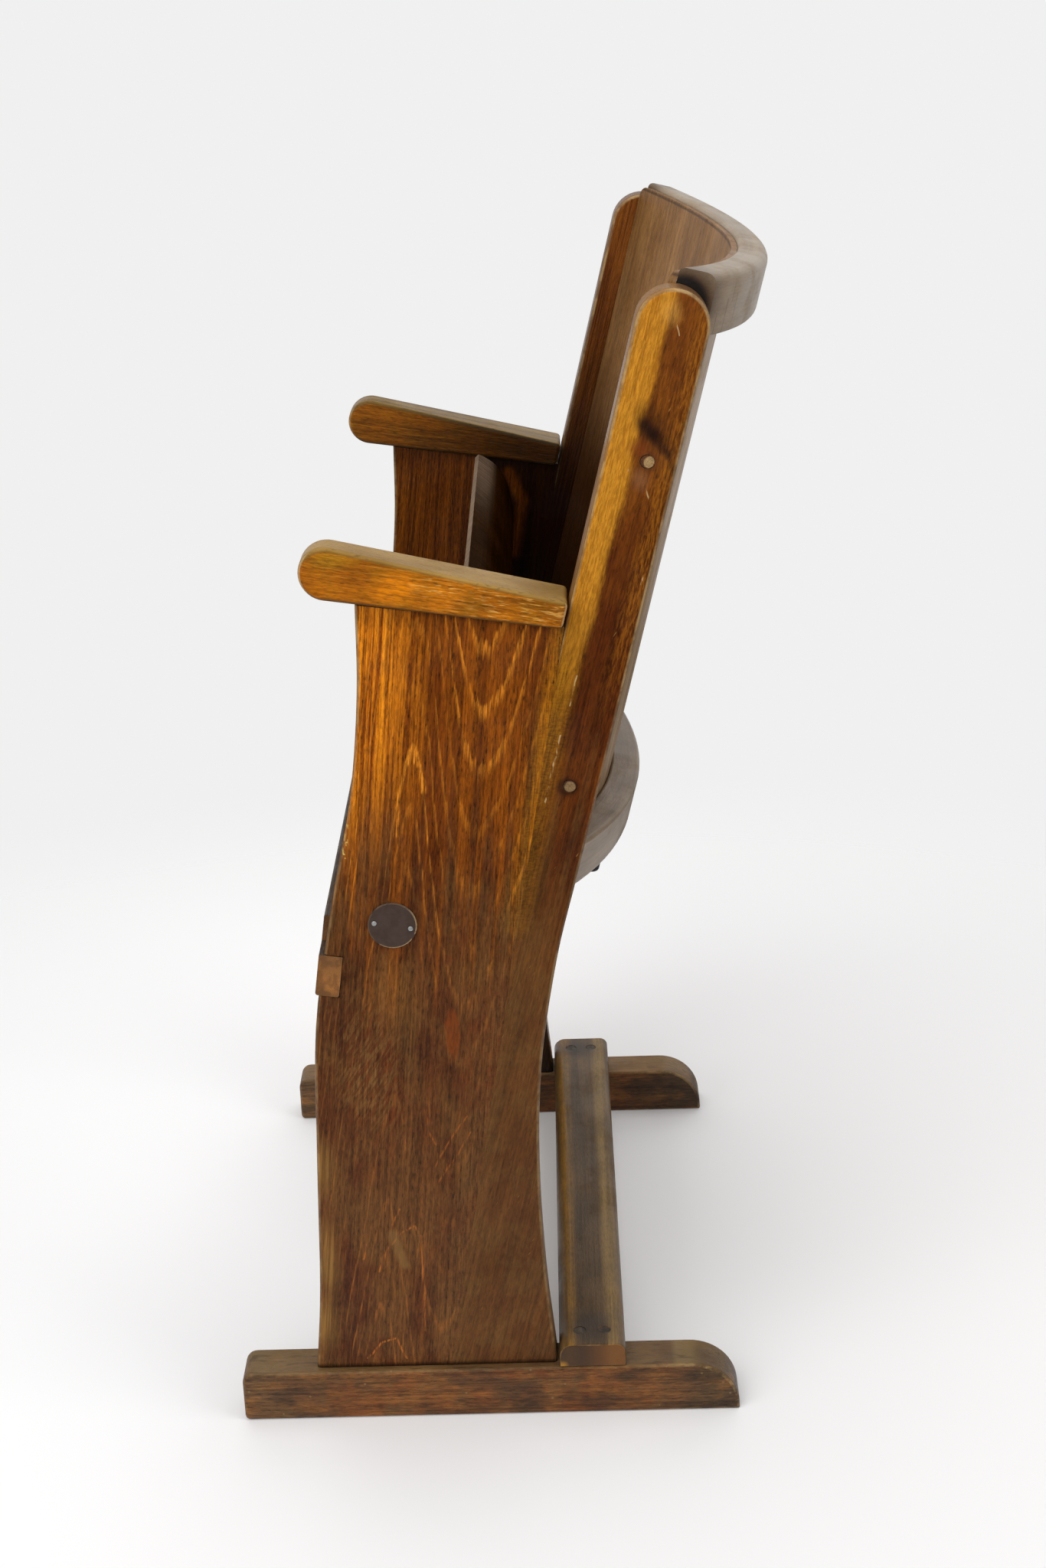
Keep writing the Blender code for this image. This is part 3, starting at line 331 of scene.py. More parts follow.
def ring_lines(group, phase, vector):
    """Thin lines where a count of year rings steps on, each of its own strength, broken along the grain."""
    share = calc(group, "FRACT", phase)
    step = calc(group, "FLOOR", phase)
    number = put(group, "TexWhiteNoise", {"W": step}, noise_dimensions="1D").outputs[0]
    line = product(group, ease(group, share, 0.64, 0.9), ease(group, share, 0.92, 1.0, 1.0, 0.0))
    strength = ease(group, number, 0.1, 0.9, 0.3, 1.0)
    broken = ease(group, noise(group, vector, (520, 520, 17), 2.0)[0], 0.36, 0.56)
    return product(group, line, strength, broken)


def make_ring_group():
    """Year rings with the grain along Z and the pith at the origin."""
    group, given = new_group("year_rings", Vector="Vector", Spacing=0.006, Taper=0.1, Wobble=0.004)
    vector = given["Vector"]
    drift = vector_calc(group, "SUBTRACT", noise(group, vector, (14, 14, 3.2), 2.0)["Color"], (0.5,) * 3)
    wave = put(group, "VectorMath", {0: drift, "Scale": given["Wobble"]}, operation="SCALE").outputs[0]
    split = put(group, "SeparateXYZ", {0: vector_calc(group, "ADD", vector, wave)}).outputs
    flat = put(group, "CombineXYZ", {0: split["X"], 1: split["Y"]}).outputs[0]
    taper = product(group, split["Z"], given["Taper"])
    ring = calc(group, "SUBTRACT", vector_calc(group, "LENGTH", flat), taper)
    phase = calc(group, "DIVIDE", ring, given["Spacing"])
    return close_group(group, Lines=ring_lines(group, phase, vector))


def make_crown_group():
    """Crown figure of a flat-sawn board that stands on end: tongues that point down or up."""
    group, given = new_group("crown_figure", Vector="Vector")
    split = put(group, "SeparateXYZ", {0: given["Vector"]}).outputs
    drift = calc(group, "SUBTRACT", noise(group, given["Vector"], (20, 20, 5), 2.0)[0], 0.5)
    across = calc(group, "ADD", split["Y"], product(group, drift, 0.012))
    ragged = calc(group, "SUBTRACT", noise(group, given["Vector"], (420, 420, 12), 2.0)[0], 0.5)
    height = calc(group, "ADD", split["Z"], product(group, ragged, 0.02))
    rise = product(group, across, CROWN_SLANT)
    for centre, blunt, slope in CROWN_TONGUES:
        offset = calc(group, "SUBTRACT", across, centre)
        square = calc(group, "ADD", product(group, offset, offset), blunt * blunt)
        rise = calc(group, "ADD", rise, product(group, calc(group, "SQRT", square), slope))
    phase = calc(group, "DIVIDE", calc(group, "SUBTRACT", height, rise), CROWN_STEP)
    phase = calc(group, "ADD", phase, CROWN_PHASE)
    return close_group(group, Lines=ring_lines(group, phase, given["Vector"]))


def make_spot_group():
    """A soft ellipsoid round a centre."""
    group, given = new_group("spot", Vector="Vector", Centre="Vector", Radius=(0.01, 0.01, 0.01), Soft=0.5)
    offset = vector_calc(group, "SUBTRACT", given["Vector"], given["Centre"])
    reach = vector_calc(group, "LENGTH", vector_calc(group, "DIVIDE", offset, given["Radius"]))
    return close_group(group, Mask=ease(group, reach, invert(group, given["Soft"]), 1.0, 1.0, 0.0))


def make_stroke_group():
    """A soft line from one point to another."""
    group, given = new_group("stroke", Vector="Vector", From="Vector", To="Vector", Width=0.001, Soft=0.001)
    offset = vector_calc(group, "SUBTRACT", given["Vector"], given["From"])
    run = vector_calc(group, "SUBTRACT", given["To"], given["From"])
    share = calc(group, "DIVIDE", vector_calc(group, "DOT_PRODUCT", offset, run),
                 vector_calc(group, "DOT_PRODUCT", run, run), clamp=True)
    along = put(group, "VectorMath", {0: run, "Scale": share}, operation="SCALE").outputs[0]
    away = vector_calc(group, "DISTANCE", offset, along)
    outer = calc(group, "ADD", given["Width"], given["Soft"])
    return close_group(group, Mask=ease(group, away, given["Width"], outer, 1.0, 0.0))


def make_arris_group():
    """Rounded edges of a piece that was cut from a board: where the surface turns between face and edge."""
    group, given = new_group("arris", Vector="Vector", Normal="Vector")
    facing = calc(group, "ABSOLUTE", axis(group, given["Normal"], "X"))
    across = calc(group, "SQRT", calc(group, "SUBTRACT", 1.0, product(group, facing, facing), True))
    turn = invert(group, calc(group, "MAXIMUM", facing, across))
    arris = ease(group, turn, 0.01, 0.12)
    patchy = ease(group, noise(group, given["Vector"], (60, 60, 60), 4.0, 0.65)[0], 0.4, 0.62)
    return close_group(group, Arris=arris, Worn=product(group, arris, patchy))


def make_marks_group():
    """Small marks of use: fine scratches, pin-head specks and smudges."""
    group, given = new_group("marks", Vector="Vector")
    vector = given["Vector"]
    turned = put(group, "VectorRotate", {"Vector": vector, "Axis": (1, 0.3, 0.2), "Angle": 0.6},
                 rotation_type="AXIS_ANGLE").outputs[0]
    lines = ease(group, noise(group, turned, (900, 900, 26), 1.0)[0], 0.7, 0.78)
    gate = ease(group, noise(group, vector, (38, 38, 30), 1.0)[0], 0.56, 0.66)
    cells = put(group, "TexVoronoi", {"Vector": vector, "Scale": 95.0, "Randomness": 1.0}).outputs
    dots = ease(group, cells["Distance"], 0.06, 0.11, 1.0, 0.0)
    chosen = ease(group, put(group, "SeparateColor", {0: cells["Color"]}).outputs[0], 0.8, 0.81)
    smudge = ease(group, noise(group, vector, (17, 17, 17), 4.0, 0.62)[0], 0.42, 0.68)
    return close_group(group, Scratches=product(group, lines, gate),
                       Specks=product(group, dots, chosen), Smudge=smudge)


def make_bent_group():
    """Places on the bent back: round the bend, across its thickness and up its slope."""
    group, given = new_group("bent_back", Vector="Vector")
    sloped = put(group, "Mapping", {"Vector": given["Vector"], "Rotation": GRAIN_BACK}).outputs[0]
    split = put(group, "SeparateXYZ", {0: sloped}).outputs
    depth = calc(group, "SUBTRACT", split["Y"], BACK_CENTRE + feet_middle * math.cos(BACK_SLOPE))
    angle = calc(group, "ARCTAN2", split["X"], depth)
    flat = put(group, "CombineXYZ", {0: split["X"], 1: depth}).outputs[0]
    return close_group(group, Round=product(group, angle, BACK_RADIUS),
                       Radius=vector_calc(group, "LENGTH", flat), Up=split["Z"])


def chain(tree, vector, points, width, soft, x=face_x):
    """A soft line through points (y, z) on a face of a side frame, the near outer one unless x is given."""
    total = None
    for start, end in zip(points, points[1:]):
        values = {"Vector": vector, "From": (x, *start), "To": (x, *end), "Width": width, "Soft": soft}
        mask = put(tree, "Group", values, node_tree=stroke_group).outputs["Mask"]
        total = mask if total is None else calc(tree, "MAXIMUM", total, mask)
    return total


def make_glue_group():
    """Old glue along the line where side board and post meet: combed across above, a faint stain below."""
    group, given = new_group("glue_line", Vector="Vector", Loose="Vector")
    combed = ease(group, noise(group, given["Vector"], (260, 260, 760), 3.0)[0], 0.34, 0.62, 0.45, 1.0)
    fade = ease(group, axis(group, given["Vector"], "Z"), 0.40, 0.60, 0.5, 1.0)
    above = chain(group, given["Loose"], GLUE_UPPER, 0.002, 0.015)
    below = chain(group, given["Loose"], GLUE_LOWER, 0.001, 0.02)
    return close_group(group, Above=product(group, above, fade, combed), Below=product(group, below, combed))


def make_edge_group():
    """Edges of a side frame: a painted grey sheen along their rounding, rubbed pale in places, and plain on
    the cut edge.
    """
    group, given = new_group("side_edge", Vector="Vector", Normal="Vector", Color="Color")
    values = {"Vector": given["Vector"], "Normal": given["Normal"]}
    arris = put(group, "Group", values, node_tree=arris_group).outputs
    high = ease(group, axis(group, given["Vector"], "Z"), 0.5, 0.66, 0.35, 1.0)
    facing = calc(group, "ABSOLUTE", axis(group, given["Normal"], "X"))
    colour = given["Color"]
    # The first tone is painted sheen along the rounding, the second real wear
    for mask, amount, shade in ((arris["Arris"], 0.7, tone(132, 106, 74)),
                                (arris["Worn"], 0.5, tone(206, 172, 116))):
        colour = blend(group, product(group, mask, high, amount), colour, shade)
    cut_edge = ease(group, facing, 0.25, 0.5, 0.7, 0.0)
    return close_group(group, Color=blend(group, cut_edge, colour, tone(104, 80, 54)))


grain_group = make_grain_group()
weave_group = make_weave_group()
grime_group = make_grime_group()
wander_group = make_wander_group()
stain_group = make_stain_group()
far_shade_group = make_far_shade_group()
dust_group = make_dust_group()
ring_group = make_ring_group()
crown_group = make_crown_group()
spot_group = make_spot_group()
stroke_group = make_stroke_group()
arris_group = make_arris_group()
marks_group = make_marks_group()
bent_group = make_bent_group()
glue_group = make_glue_group()
edge_group = make_edge_group()


class Finish:
    """A material under way: its colour is built up in layers and then closed with gloss and relief."""

    def __init__(self, name, slot, grain=None):
        self.material = bpy.data.materials.new(name)
        self.material.use_nodes = True
        self.slot = slot
        self.tree = self.material.node_tree
        self.shader = self.tree.nodes["Principled BSDF"]
        place = put(self.tree, "TexCoord").outputs
        self.place = place["Object"]
        self.normal = place["Normal"]
        self.x, self.y, self.z = put(self.tree, "SeparateXYZ", {0: self.place}).outputs
        self.face_x, self.face_y, self.face_z = put(self.tree, "SeparateXYZ", {0: self.normal}).outputs
        self.near = self.ease(self.x, -SIDE_BLEND, SIDE_BLEND)
        self.far = self.ease(self.x, -SIDE_BLEND, SIDE_BLEND, 1.0, 0.0)
        self.marks = self.use(marks_group, {"Vector": self.place})
        self.loose = self.use(wander_group, {"Vector": self.place})["Vector"]
        self.colour = None
        self.height = None
        self.along = self.turn(grain) if grain else None

    def use(self, group, values):
        return put(self.tree, "Group", values, node_tree=group).outputs

    def turn(self, rotation):
        return put(self.tree, "Mapping", {"Vector": self.place, "Rotation": rotation}).outputs[0]

    def combine(self, x, y, z):
        return put(self.tree, "CombineXYZ", {0: x, 1: y, 2: z}).outputs[0]

    def plus(self, first, second):
        return calc(self.tree, "ADD", first, second)

    def minus(self, first, second):
        return calc(self.tree, "SUBTRACT", first, second)

    def size(self, value):
        return calc(self.tree, "ABSOLUTE", value)

    def ease(self, value, low, high, start=0.0, end=1.0):
        return ease(self.tree, value, low, high, start, end)

    def span(self, mask, at_zero, at_one):
        """Goes from one value to another with a mask."""
        return self.ease(mask, 0.0, 1.0, at_zero, at_one)

    def band(self, value, centre, inner, outer):
        """1 within a short way of a centre value, and 0 past a longer one."""
        return self.ease(self.size(self.minus(value, centre)), inner, outer, 1.0, 0.0)

    def cloud(self, stretch, low, high, detail=3.0, place=None):
        """Patches of noise at the object's own places, or at turned ones."""
        place = self.place if place is None else place
        return self.ease(noise(self.tree, place, stretch, detail)[0], low, high)

    def spot(self, centre, radius, soft, place=None):
        """A soft ellipsoid at the shaken places, or at given ones."""
        place = self.loose if place is None else place
        values = {"Vector": place, "Centre": centre, "Radius": radius, "Soft": soft}
        return self.use(spot_group, values)["Mask"]

    def strokes(self, points, width, soft, x=face_x):
        return chain(self.tree, self.loose, points, width, soft, x)

    def arris(self):
        return self.use(arris_group, {"Vector": self.place, "Normal": self.normal})

    def times(self, *values):
        return product(self.tree, *values)

    def most(self, first, *others):
        for other in others:
            first = calc(self.tree, "MAXIMUM", first, other)
        return first

    def mix(self, mask, first, second):
        return blend(self.tree, mask, first, second)

    def layer(self, mask, colour, amount=1.0):
        """Lays a colour where a mask is, or where several masks meet."""
        if isinstance(mask, tuple):
            mask = self.times(*mask)
        if amount != 1.0:
            mask = self.times(mask, amount)
        self.colour = self.mix(mask, self.colour, colour)

    def shade(self, mask, at_zero, at_one):
        """Multiplies the colour by a share that goes with the mask."""
        self.colour = darken(self.tree, self.colour, self.span(mask, at_zero, at_one))

    def wood(self, dark, light):
        """Two stain shades, broadly mottled and streaked."""
        self.grain = self.use(grain_group, {"Vector": self.along})
        self.colour = self.mix(self.grain["Mottle"], dark, light)
        self.shade(self.grain["Streaks"], 0.9, 1.08)
        self.height = self.times(self.plus(self.grain["Fibre"], self.grain["Lines"]), 0.5)

    def bent(self):
        """Places on the bent back: round the bend, across its thickness and up its slope."""
        return self.use(bent_group, {"Vector": self.place})

    def rings(self, width, taper, wobble):
        values = {"Vector": self.along, "Spacing": width, "Taper": taper, "Wobble": wobble}
        return self.use(ring_group, values)["Lines"]

    def weave(self, amount):
        """Lays the fine grain over what is coloured so far."""
        values = {"Color": self.colour, "Amount": amount}
        for name in ("Fibre", "Lines", "Flecks"):
            values[name] = self.grain[name]
        self.colour = self.use(weave_group, values)["Color"]

    def grime(self, colour, amount):
        values = {"Vector": self.place, "Color": self.colour, "Dirt": colour, "Amount": amount}
        self.colour = self.use(grime_group, values)["Color"]

    def bright_stain(self):
        return self.use(stain_group, {"Vector": self.place, "Streaks": self.grain["Streaks"]})["Mask"]

    def glue(self, amount):
        masks = self.use(glue_group, {"Vector": self.place, "Loose": self.loose})
        self.layer(masks["Above"], tone(164, 112, 16), amount)
        self.layer(masks["Below"], tone(112, 80, 42), amount * 0.5)

    def side_edges(self):
        values = {"Vector": self.place, "Normal": self.normal, "Color": self.colour}
        self.colour = self.use(edge_group, values)["Color"]

    def joint_dust(self):
        self.layer(self.use(dust_group, {"Vector": self.place})["Mask"], tone(26, 16, 10), 0.85)

    # Painted shade on the far side frame's inner face, together with its deeper stain
    def far_stain_and_shade(self, share):
        values = {"Vector": self.place, "Normal": self.normal, "Color": self.colour, "Share": share}
        self.colour = self.use(far_shade_group, values)["Color"]

    def gloss(self, smooth, worn):
        """Roughness that runs from smooth to worn with the smudges of use."""
        return self.span(self.marks["Smudge"], smooth, worn)

    def close(self, roughness, relief, specular=0.26, metallic=0.0):
        for name, value in (("Base Color", self.colour), ("Roughness", roughness),
                            ("Specular IOR Level", specular), ("Metallic", metallic)):
            feed(self.tree, self.shader.inputs[name], value)
        if self.height is not None:
            bump = put(self.tree, "Bump", {"Height": self.height, "Strength": 1.0, "Distance": relief})
            self.tree.links.new(bump.outputs[0], self.shader.inputs["Normal"])
        return self


# Tones that more than one mark has
CROWN_TONE = tone(222, 136, 36)
SCUFF_TONE = tone(128, 94, 50)


def lay_board_stain(finish, upper):
    """Brown below, bright above and orange towards the front edge."""
    finish.layer(finish.cloud((26, 26, 9), 0.46, 0.62), tone(108, 71, 33), 0.5)
    finish.layer(finish.cloud((17, 17, 7), 0.5, 0.64), tone(90, 38, 10), 0.6)
    finish.grime(tone(102, 68, 32), 0.45)
    pale_patch = finish.spot(on_face(-0.076, 0.362), (0.02, 0.034, 0.04), 0.9)
    finish.layer(pale_patch, tone(126, 80, 34), 0.5)
    finish.layer(upper, finish.mix(finish.grain["Streaks"], tone(100, 47, 3), tone(136, 70, 7)))
    front = finish.spot(on_face(-0.099, 0.622), (0.6, 0.070, 0.18), 0.75)
    stripes = finish.plus(finish.times(finish.grain["Lines"], 0.6),
                          finish.times(finish.grain["Streaks"], 0.4))
    finish.layer(front, finish.mix(stripes, tone(146, 66, 2), tone(228, 138, 24)))
    finish.layer(finish.strokes(BOARD_STREAK, 0.002, 0.008), tone(92, 40, 4), 0.6)


def draw_board_figure(finish, upper):
    """The crown figure, the glue line, and the slanted figure and thin bright lines low on the board."""
    lines = finish.use(crown_group, {"Vector": finish.along})["Lines"]
    lines = finish.times(lines, finish.span(finish.near, 0.3, 1.0))
    finish.layer(lines, finish.mix(upper, tone(132, 80, 34), CROWN_TONE), 0.75)
    dashes = finish.cloud((640, 640, 52), 0.42, 0.58, 2.0, finish.along)
    finish.layer((finish.strokes(BOARD_ARCH, 0.0006, 0.0022), dashes), CROWN_TONE, 0.75)
    finish.glue(0.5)
    wavy = finish.spot(on_face(-0.098, 0.30), (0.02, 0.04, 0.09), 0.9)
    slanted = finish.cloud((560, 560, 90), 0.45, 0.62, 2.0, finish.turn(GRAIN_SLANTED))
    finish.layer((wavy, slanted), SCUFF_TONE, 0.45)
    finish.weave(finish.span(upper, 0.95, 1.05))
    drawn = [finish.strokes(points, 0.0001, 0.0011) for points in FACE_LINES]
    faint = finish.ease(finish.z, 0.19, 0.21, 0.85, 0.5)
    finish.layer((finish.most(*drawn), dashes, faint), tone(182, 102, 38))


def draw_board_marks(finish):
    """The red-brown patch, the scuff, worn and chipped edges with painted sheen along their rounding, specks,
    painted shade under the arm, and dirt at the foot.
    """
    red_patch = finish.spot(on_face(-0.0355, 0.328), (0.02, 0.0068, 0.024), 0.4)
    finish.layer((red_patch, finish.span(finish.grain["Fibre"], 0.6, 1.0)), tone(132, 62, 18), 0.75)
    finish.layer(finish.strokes(BOARD_SCUFF, 0.001, 0.0045), SCUFF_TONE, 0.6)
    broken = finish.span(finish.grain["Lines"], 0.4, 1.0)
    for y, z, tall in OLIVE_PATCHES:
        olive = finish.spot(on_face(y, z), (0.02, 0.013, tall), 0.9)
        finish.layer((olive, broken), tone(150, 110, 54), 0.8)
    finish.side_edges()
    chips = finish.strokes(BOARD_CHIPS, 0.0006, 0.0022)
    finish.layer((chips, finish.cloud((300, 300, 300), 0.5, 0.6)), tone(226, 190, 104), 0.9)
    finish.layer((finish.marks["Specks"], finish.near), tone(220, 186, 120), 0.35)
    # Painted shade under the arm, over the top of the board
    finish.shade(finish.ease(finish.z, 0.63, 0.652), 1.0, 0.7)
    finish.joint_dust()


def make_side_board_finish():
    finish = Finish("side_board_beech", "beech_stained", GRAIN_UP)
    finish.wood(tone(74, 37, 15), tone(94, 50, 20))
    upper = finish.bright_stain()
    lay_board_stain(finish, upper)
    draw_board_figure(finish, upper)
    draw_board_marks(finish)
    # Painted shade on the far board's inner face behind the seat, crossed by a painted streak of light
    painted_light_streak = finish.strokes(PAINTED_LIGHT_STREAK, 0.001, 0.009, far_x)
    painted_shade_behind_seat = finish.times(finish.ease(finish.y, -0.03, 0.0), finish.minus(1.0, finish.times(painted_light_streak, 0.65)))
    finish.far_stain_and_shade(finish.span(painted_shade_behind_seat, 0.5, 0.06))
    return finish.close(finish.gloss(0.34, 0.5), 0.0003, 0.14)


def lay_post_stain(finish):
    """Brown, deeper below; the near post has a pale front strip and golden fibres towards its rear edge."""
    finish.wood(tone(84, 48, 18), tone(104, 64, 28))
    finish.grime(tone(106, 76, 36), 0.35)
    upper = finish.bright_stain()
    low_brown = finish.mix(finish.grain["Mottle"], tone(72, 28, 3), tone(98, 48, 8))
    high_brown = finish.mix(finish.grain["Mottle"], tone(95, 45, 6), tone(124, 68, 13))
    finish.layer(upper, finish.mix(finish.ease(finish.z, 0.60, 0.74), low_brown, high_brown))
    tilt = finish.times(finish.minus(finish.z, POST_SPLIT_TOP), POST_SPLIT_TILT)
    ripple = noise(finish.tree, finish.place, (60, 60, 30), 3.0)[0]
    waver = finish.times(finish.minus(ripple, 0.5), 0.008)
    across = finish.plus(finish.plus(axis(finish.tree, finish.along, "Y"), tilt), waver)
    reach = finish.times(finish.ease(finish.z, 0.54, 0.68), finish.near)
    pale = finish.times(finish.ease(across, POST_SPLIT - 0.005, POST_SPLIT + 0.001, 1.0, 0.0), reach)
    rear = finish.ease(across, POST_SPLIT + 0.010, POST_SPLIT + 0.022)
    finish.layer((rear, reach, finish.grain["Fibre"]), tone(158, 98, 18), 0.45)
    fine = finish.plus(finish.times(finish.grain["Fibre"], 0.5), finish.times(finish.grain["Streaks"], 0.5))
    finish.layer(pale, finish.mix(fine, tone(168, 102, 12), tone(198, 134, 36)))
    finish.layer(finish.spot(on_face(0.128, 0.846), (0.1, 0.010, 0.014), 0.9), tone(220, 160, 70), 0.4)
    finish.layer((finish.far, finish.grain["Lines"]), tone(150, 88, 28), 0.35)
    finish.glue(0.45)
    finish.weave(finish.times(finish.span(upper, 0.6, 0.8), finish.span(finish.near, 0.6, 1.0),
                              finish.span(pale, 1.0, 0.55)))


def draw_post_marks(finish):
    """The knot between two patches, painted shade round the dowels, worn edges with painted sheen along their
    rounding, scratches and specks.
    """
    finish.layer(finish.spot(on_face(0.1055, 0.7570), (0.1, 0.011, 0.010), 0.8), tone(122, 56, 16), 0.6)
    for points, width, soft, amount in KNOT:
        finish.layer(finish.strokes(points, width, soft), tone(30, 11, 4), amount)
    finish.layer(finish.spot(on_face(0.1060, 0.7360), (0.1, 0.009, 0.012), 0.9), tone(142, 96, 62), 0.45)
    # Painted shade round the dowels, where they sit in their holes
    finish.layer(finish.spot(on_face(0.113, 0.7476), (0.1, 0.0085, 0.0085), 0.5), tone(84, 44, 20), 0.6)
    finish.layer(finish.spot(on_face(0.0527, 0.5190), (0.1, 0.0105, 0.009), 0.5), tone(46, 20, 7), 0.75)
    finish.side_edges()
    drawn = [finish.strokes(points, 0.0, 0.0008) for points in POST_SCRATCHES]
    drawn.append(finish.strokes(POST_RUB, 0.0001, 0.0009))
    gaps = finish.cloud((420, 420, 120), 0.46, 0.56)
    finish.layer((finish.most(*drawn), gaps), tone(210, 176, 124), 0.75)
    finish.layer((finish.marks["Scratches"], finish.near), tone(200, 150, 84), 0.4)
    finish.layer((finish.marks["Specks"], finish.near), tone(216, 180, 116), 0.35)
    finish.joint_dust()


def make_post_finish():
    finish = Finish("post_beech", "beech_stained", GRAIN_BACK)
    lay_post_stain(finish)
    draw_post_marks(finish)
    # Painted shade on the far post's inner face, deepest low down behind the seat, with its deeper stain
    finish.far_stain_and_shade(finish.ease(finish.z, 0.60, 0.84, 0.12, 0.95))
    return finish.close(finish.gloss(0.34, 0.5), 0.0003, 0.14)


# Patches on the outer face of the near arm: middle (y, z), half width, half height, tone and strength
ARM_PATCHES = (
    (-0.0588, 0.668, 0.024, 0.015, tone(214, 122, 4), 0.8),
    (-0.028, 0.662, 0.022, 0.012, tone(208, 122, 12), 0.6),
    (-0.100, 0.688, 0.026, 0.009, tone(186, 138, 28), 0.35),
    (-0.122, 0.674, 0.014, 0.012, tone(154, 84, 7), 0.5))


def make_arm_finish():
    finish = Finish("arm_beech", "beech_arm", GRAIN_ARM)
    finish.wood(tone(146, 80, 5), tone(186, 107, 9))
    finish.grime(tone(142, 98, 14), 0.4)
    for y, z, wide, tall, colour, amount in ARM_PATCHES:
        finish.layer(finish.spot(on_face(y, z), (0.1, wide, tall), 0.8), colour, amount)
    finish.layer(finish.rings(0.0045, 0.05, 0.006), tone(222, 146, 44), 0.35)
    flecks = finish.cloud((760, 760, 90), 0.54, 0.64, 2.0, finish.along)
    worn = finish.most(finish.spot(on_face(-0.032, 0.667), (0.1, 0.024, 0.010), 0.8),
                       finish.ease(finish.y, -0.05, 0.02, 0.0, 0.6))
    finish.layer((flecks, worn, finish.near), tone(236, 182, 94), 0.65)
    finish.weave(0.8)
    # Painted sheen: the top is coloured grey-beige for the light it reflects; below it a darker band on the
    # upper rounding, and the underside darkened as painted shade
    top = finish.ease(finish.face_z, 0.25, 0.8)
    finish.layer(finish.ease(finish.face_z, 0.08, 0.45), tone(110, 84, 30), 0.7)
    finish.layer(top, finish.mix(finish.grain["Mottle"], tone(142, 108, 50), tone(168, 133, 68)), 0.95)
    finish.layer((top, finish.grain["Flecks"]), tone(84, 62, 36), 0.5)
    finish.layer(finish.ease(finish.face_z, -0.2, -0.7), tone(84, 64, 30), 0.85)
    ends = finish.ease(finish.size(finish.face_y), 0.45, 0.7)
    finish.layer((finish.arris()["Arris"], ends), tone(206, 180, 132), 0.6)
    # The far arm's painted sheen on its top is kept darker
    finish.shade(finish.times(finish.far, top), 1.0, 0.72)
    finish.shade(finish.times(finish.far, finish.grain["Streaks"]), 1.0, 0.6)
    finish.far_stain_and_shade(finish.ease(finish.y, -0.15, 0.02, 0.75, 0.13))
    return finish.close(finish.gloss(0.32, 0.48), 0.0003, 0.12)


def make_foot_finish():
    finish = Finish("foot_beech", "beech_feet", GRAIN_DEEP)
    finish.wood(tone(104, 57, 22), tone(134, 81, 35))
    ends = finish.ease(finish.size(finish.minus(finish.y, feet_middle)), 0.09, 0.19)
    finish.layer(ends, tone(84, 65, 42), 0.7)
    finish.layer(finish.ease(finish.y, 0.10, 0.17), tone(58, 45, 32), 0.55)
    finish.grime(tone(92, 71, 40), 0.5)
    finish.layer(finish.cloud((60, 40, 90), 0.5, 0.62), tone(136, 86, 36), 0.4)
    finish.layer(finish.cloud((34, 24, 60), 0.5, 0.64), tone(60, 42, 26), 0.6)
    finish.weave(0.9)
    # Painted sheen: the top is coloured greyer and lighter for the light it reflects
    top = finish.ease(finish.face_z, 0.35, 0.9)
    finish.layer(top, finish.mix(finish.grain["Mottle"], tone(94, 70, 42), tone(122, 96, 58)), 0.8)
    pale_patch = (finish.ease(finish.y, 0.120, 0.126), finish.ease(finish.y, 0.134, 0.146, 1.0, 0.0),
                  finish.ease(finish.face_z, 0.4, 0.9), finish.near)
    finish.layer(pale_patch, tone(150, 126, 78), 0.35)
    rear = finish.ease(finish.y, 0.09, 0.15, 0.3, 1.0)
    finish.layer((finish.arris()["Worn"], rear), tone(182, 148, 98), 0.5)
    dashes = finish.cloud((190, 190, 42), 0.56, 0.7, 3.0, finish.along)
    finish.layer(dashes, tone(50, 32, 20), 0.5)
    # Painted light: the far foot's top is lightened out of the shade that the near side casts on it
    finish.shade(finish.times(finish.far, top), 1.0, 1.35)
    finish.layer(finish.marks["Specks"], tone(170, 140, 96), 0.3)
    finish.far_stain_and_shade(finish.ease(finish.y, -0.13, -0.05, 1.0, 0.6))
    return finish.close(finish.gloss(0.4, 0.6), 0.0004, 0.24)


def make_stretcher_finish():
    finish = Finish("stretcher_beech", "beech_rail", GRAIN_WIDE)
    finish.wood(tone(78, 57, 32), tone(98, 73, 44))
    for centre, colour in ((0.0435, tone(140, 100, 40)), (0.0765, tone(144, 114, 64))):
        golden = finish.band(finish.y, centre, 0.001, 0.0085)
        finish.layer((golden, finish.span(finish.grain["Streaks"], 0.4, 1.0)), colour, 0.8)
    finish.grime(tone(84, 66, 42), 0.35)
    finish.weave(0.5)
    for side, reach in ((1, 0.036), (-1, 0.026)):
        stain = finish.spot((side * 0.230, 0.058, 0.062), (reach, 0.026, 0.03), 0.8)
        finish.layer(stain, tone(48, 40, 34), 0.75)
    tips = finish.ease(finish.size(finish.face_x), 0.6, 0.8)
    tip_wood = finish.mix(finish.ease(finish.y, 0.050, 0.082), tone(64, 43, 27), tone(116, 71, 29))
    finish.layer(tips, tip_wood, 0.9)
    corner = finish.spot((0.2525, 0.036, 0.043), (0.02, 0.007, 0.006), 0.8)
    finish.layer((tips, corner), tone(178, 126, 40), 0.8)
    finish.layer(finish.arris()["Worn"], tone(190, 146, 96), 0.7)
    finish.height = finish.times(finish.height, 0.4)
    return finish.close(finish.gloss(0.36, 0.54), 0.0002, 0.24)


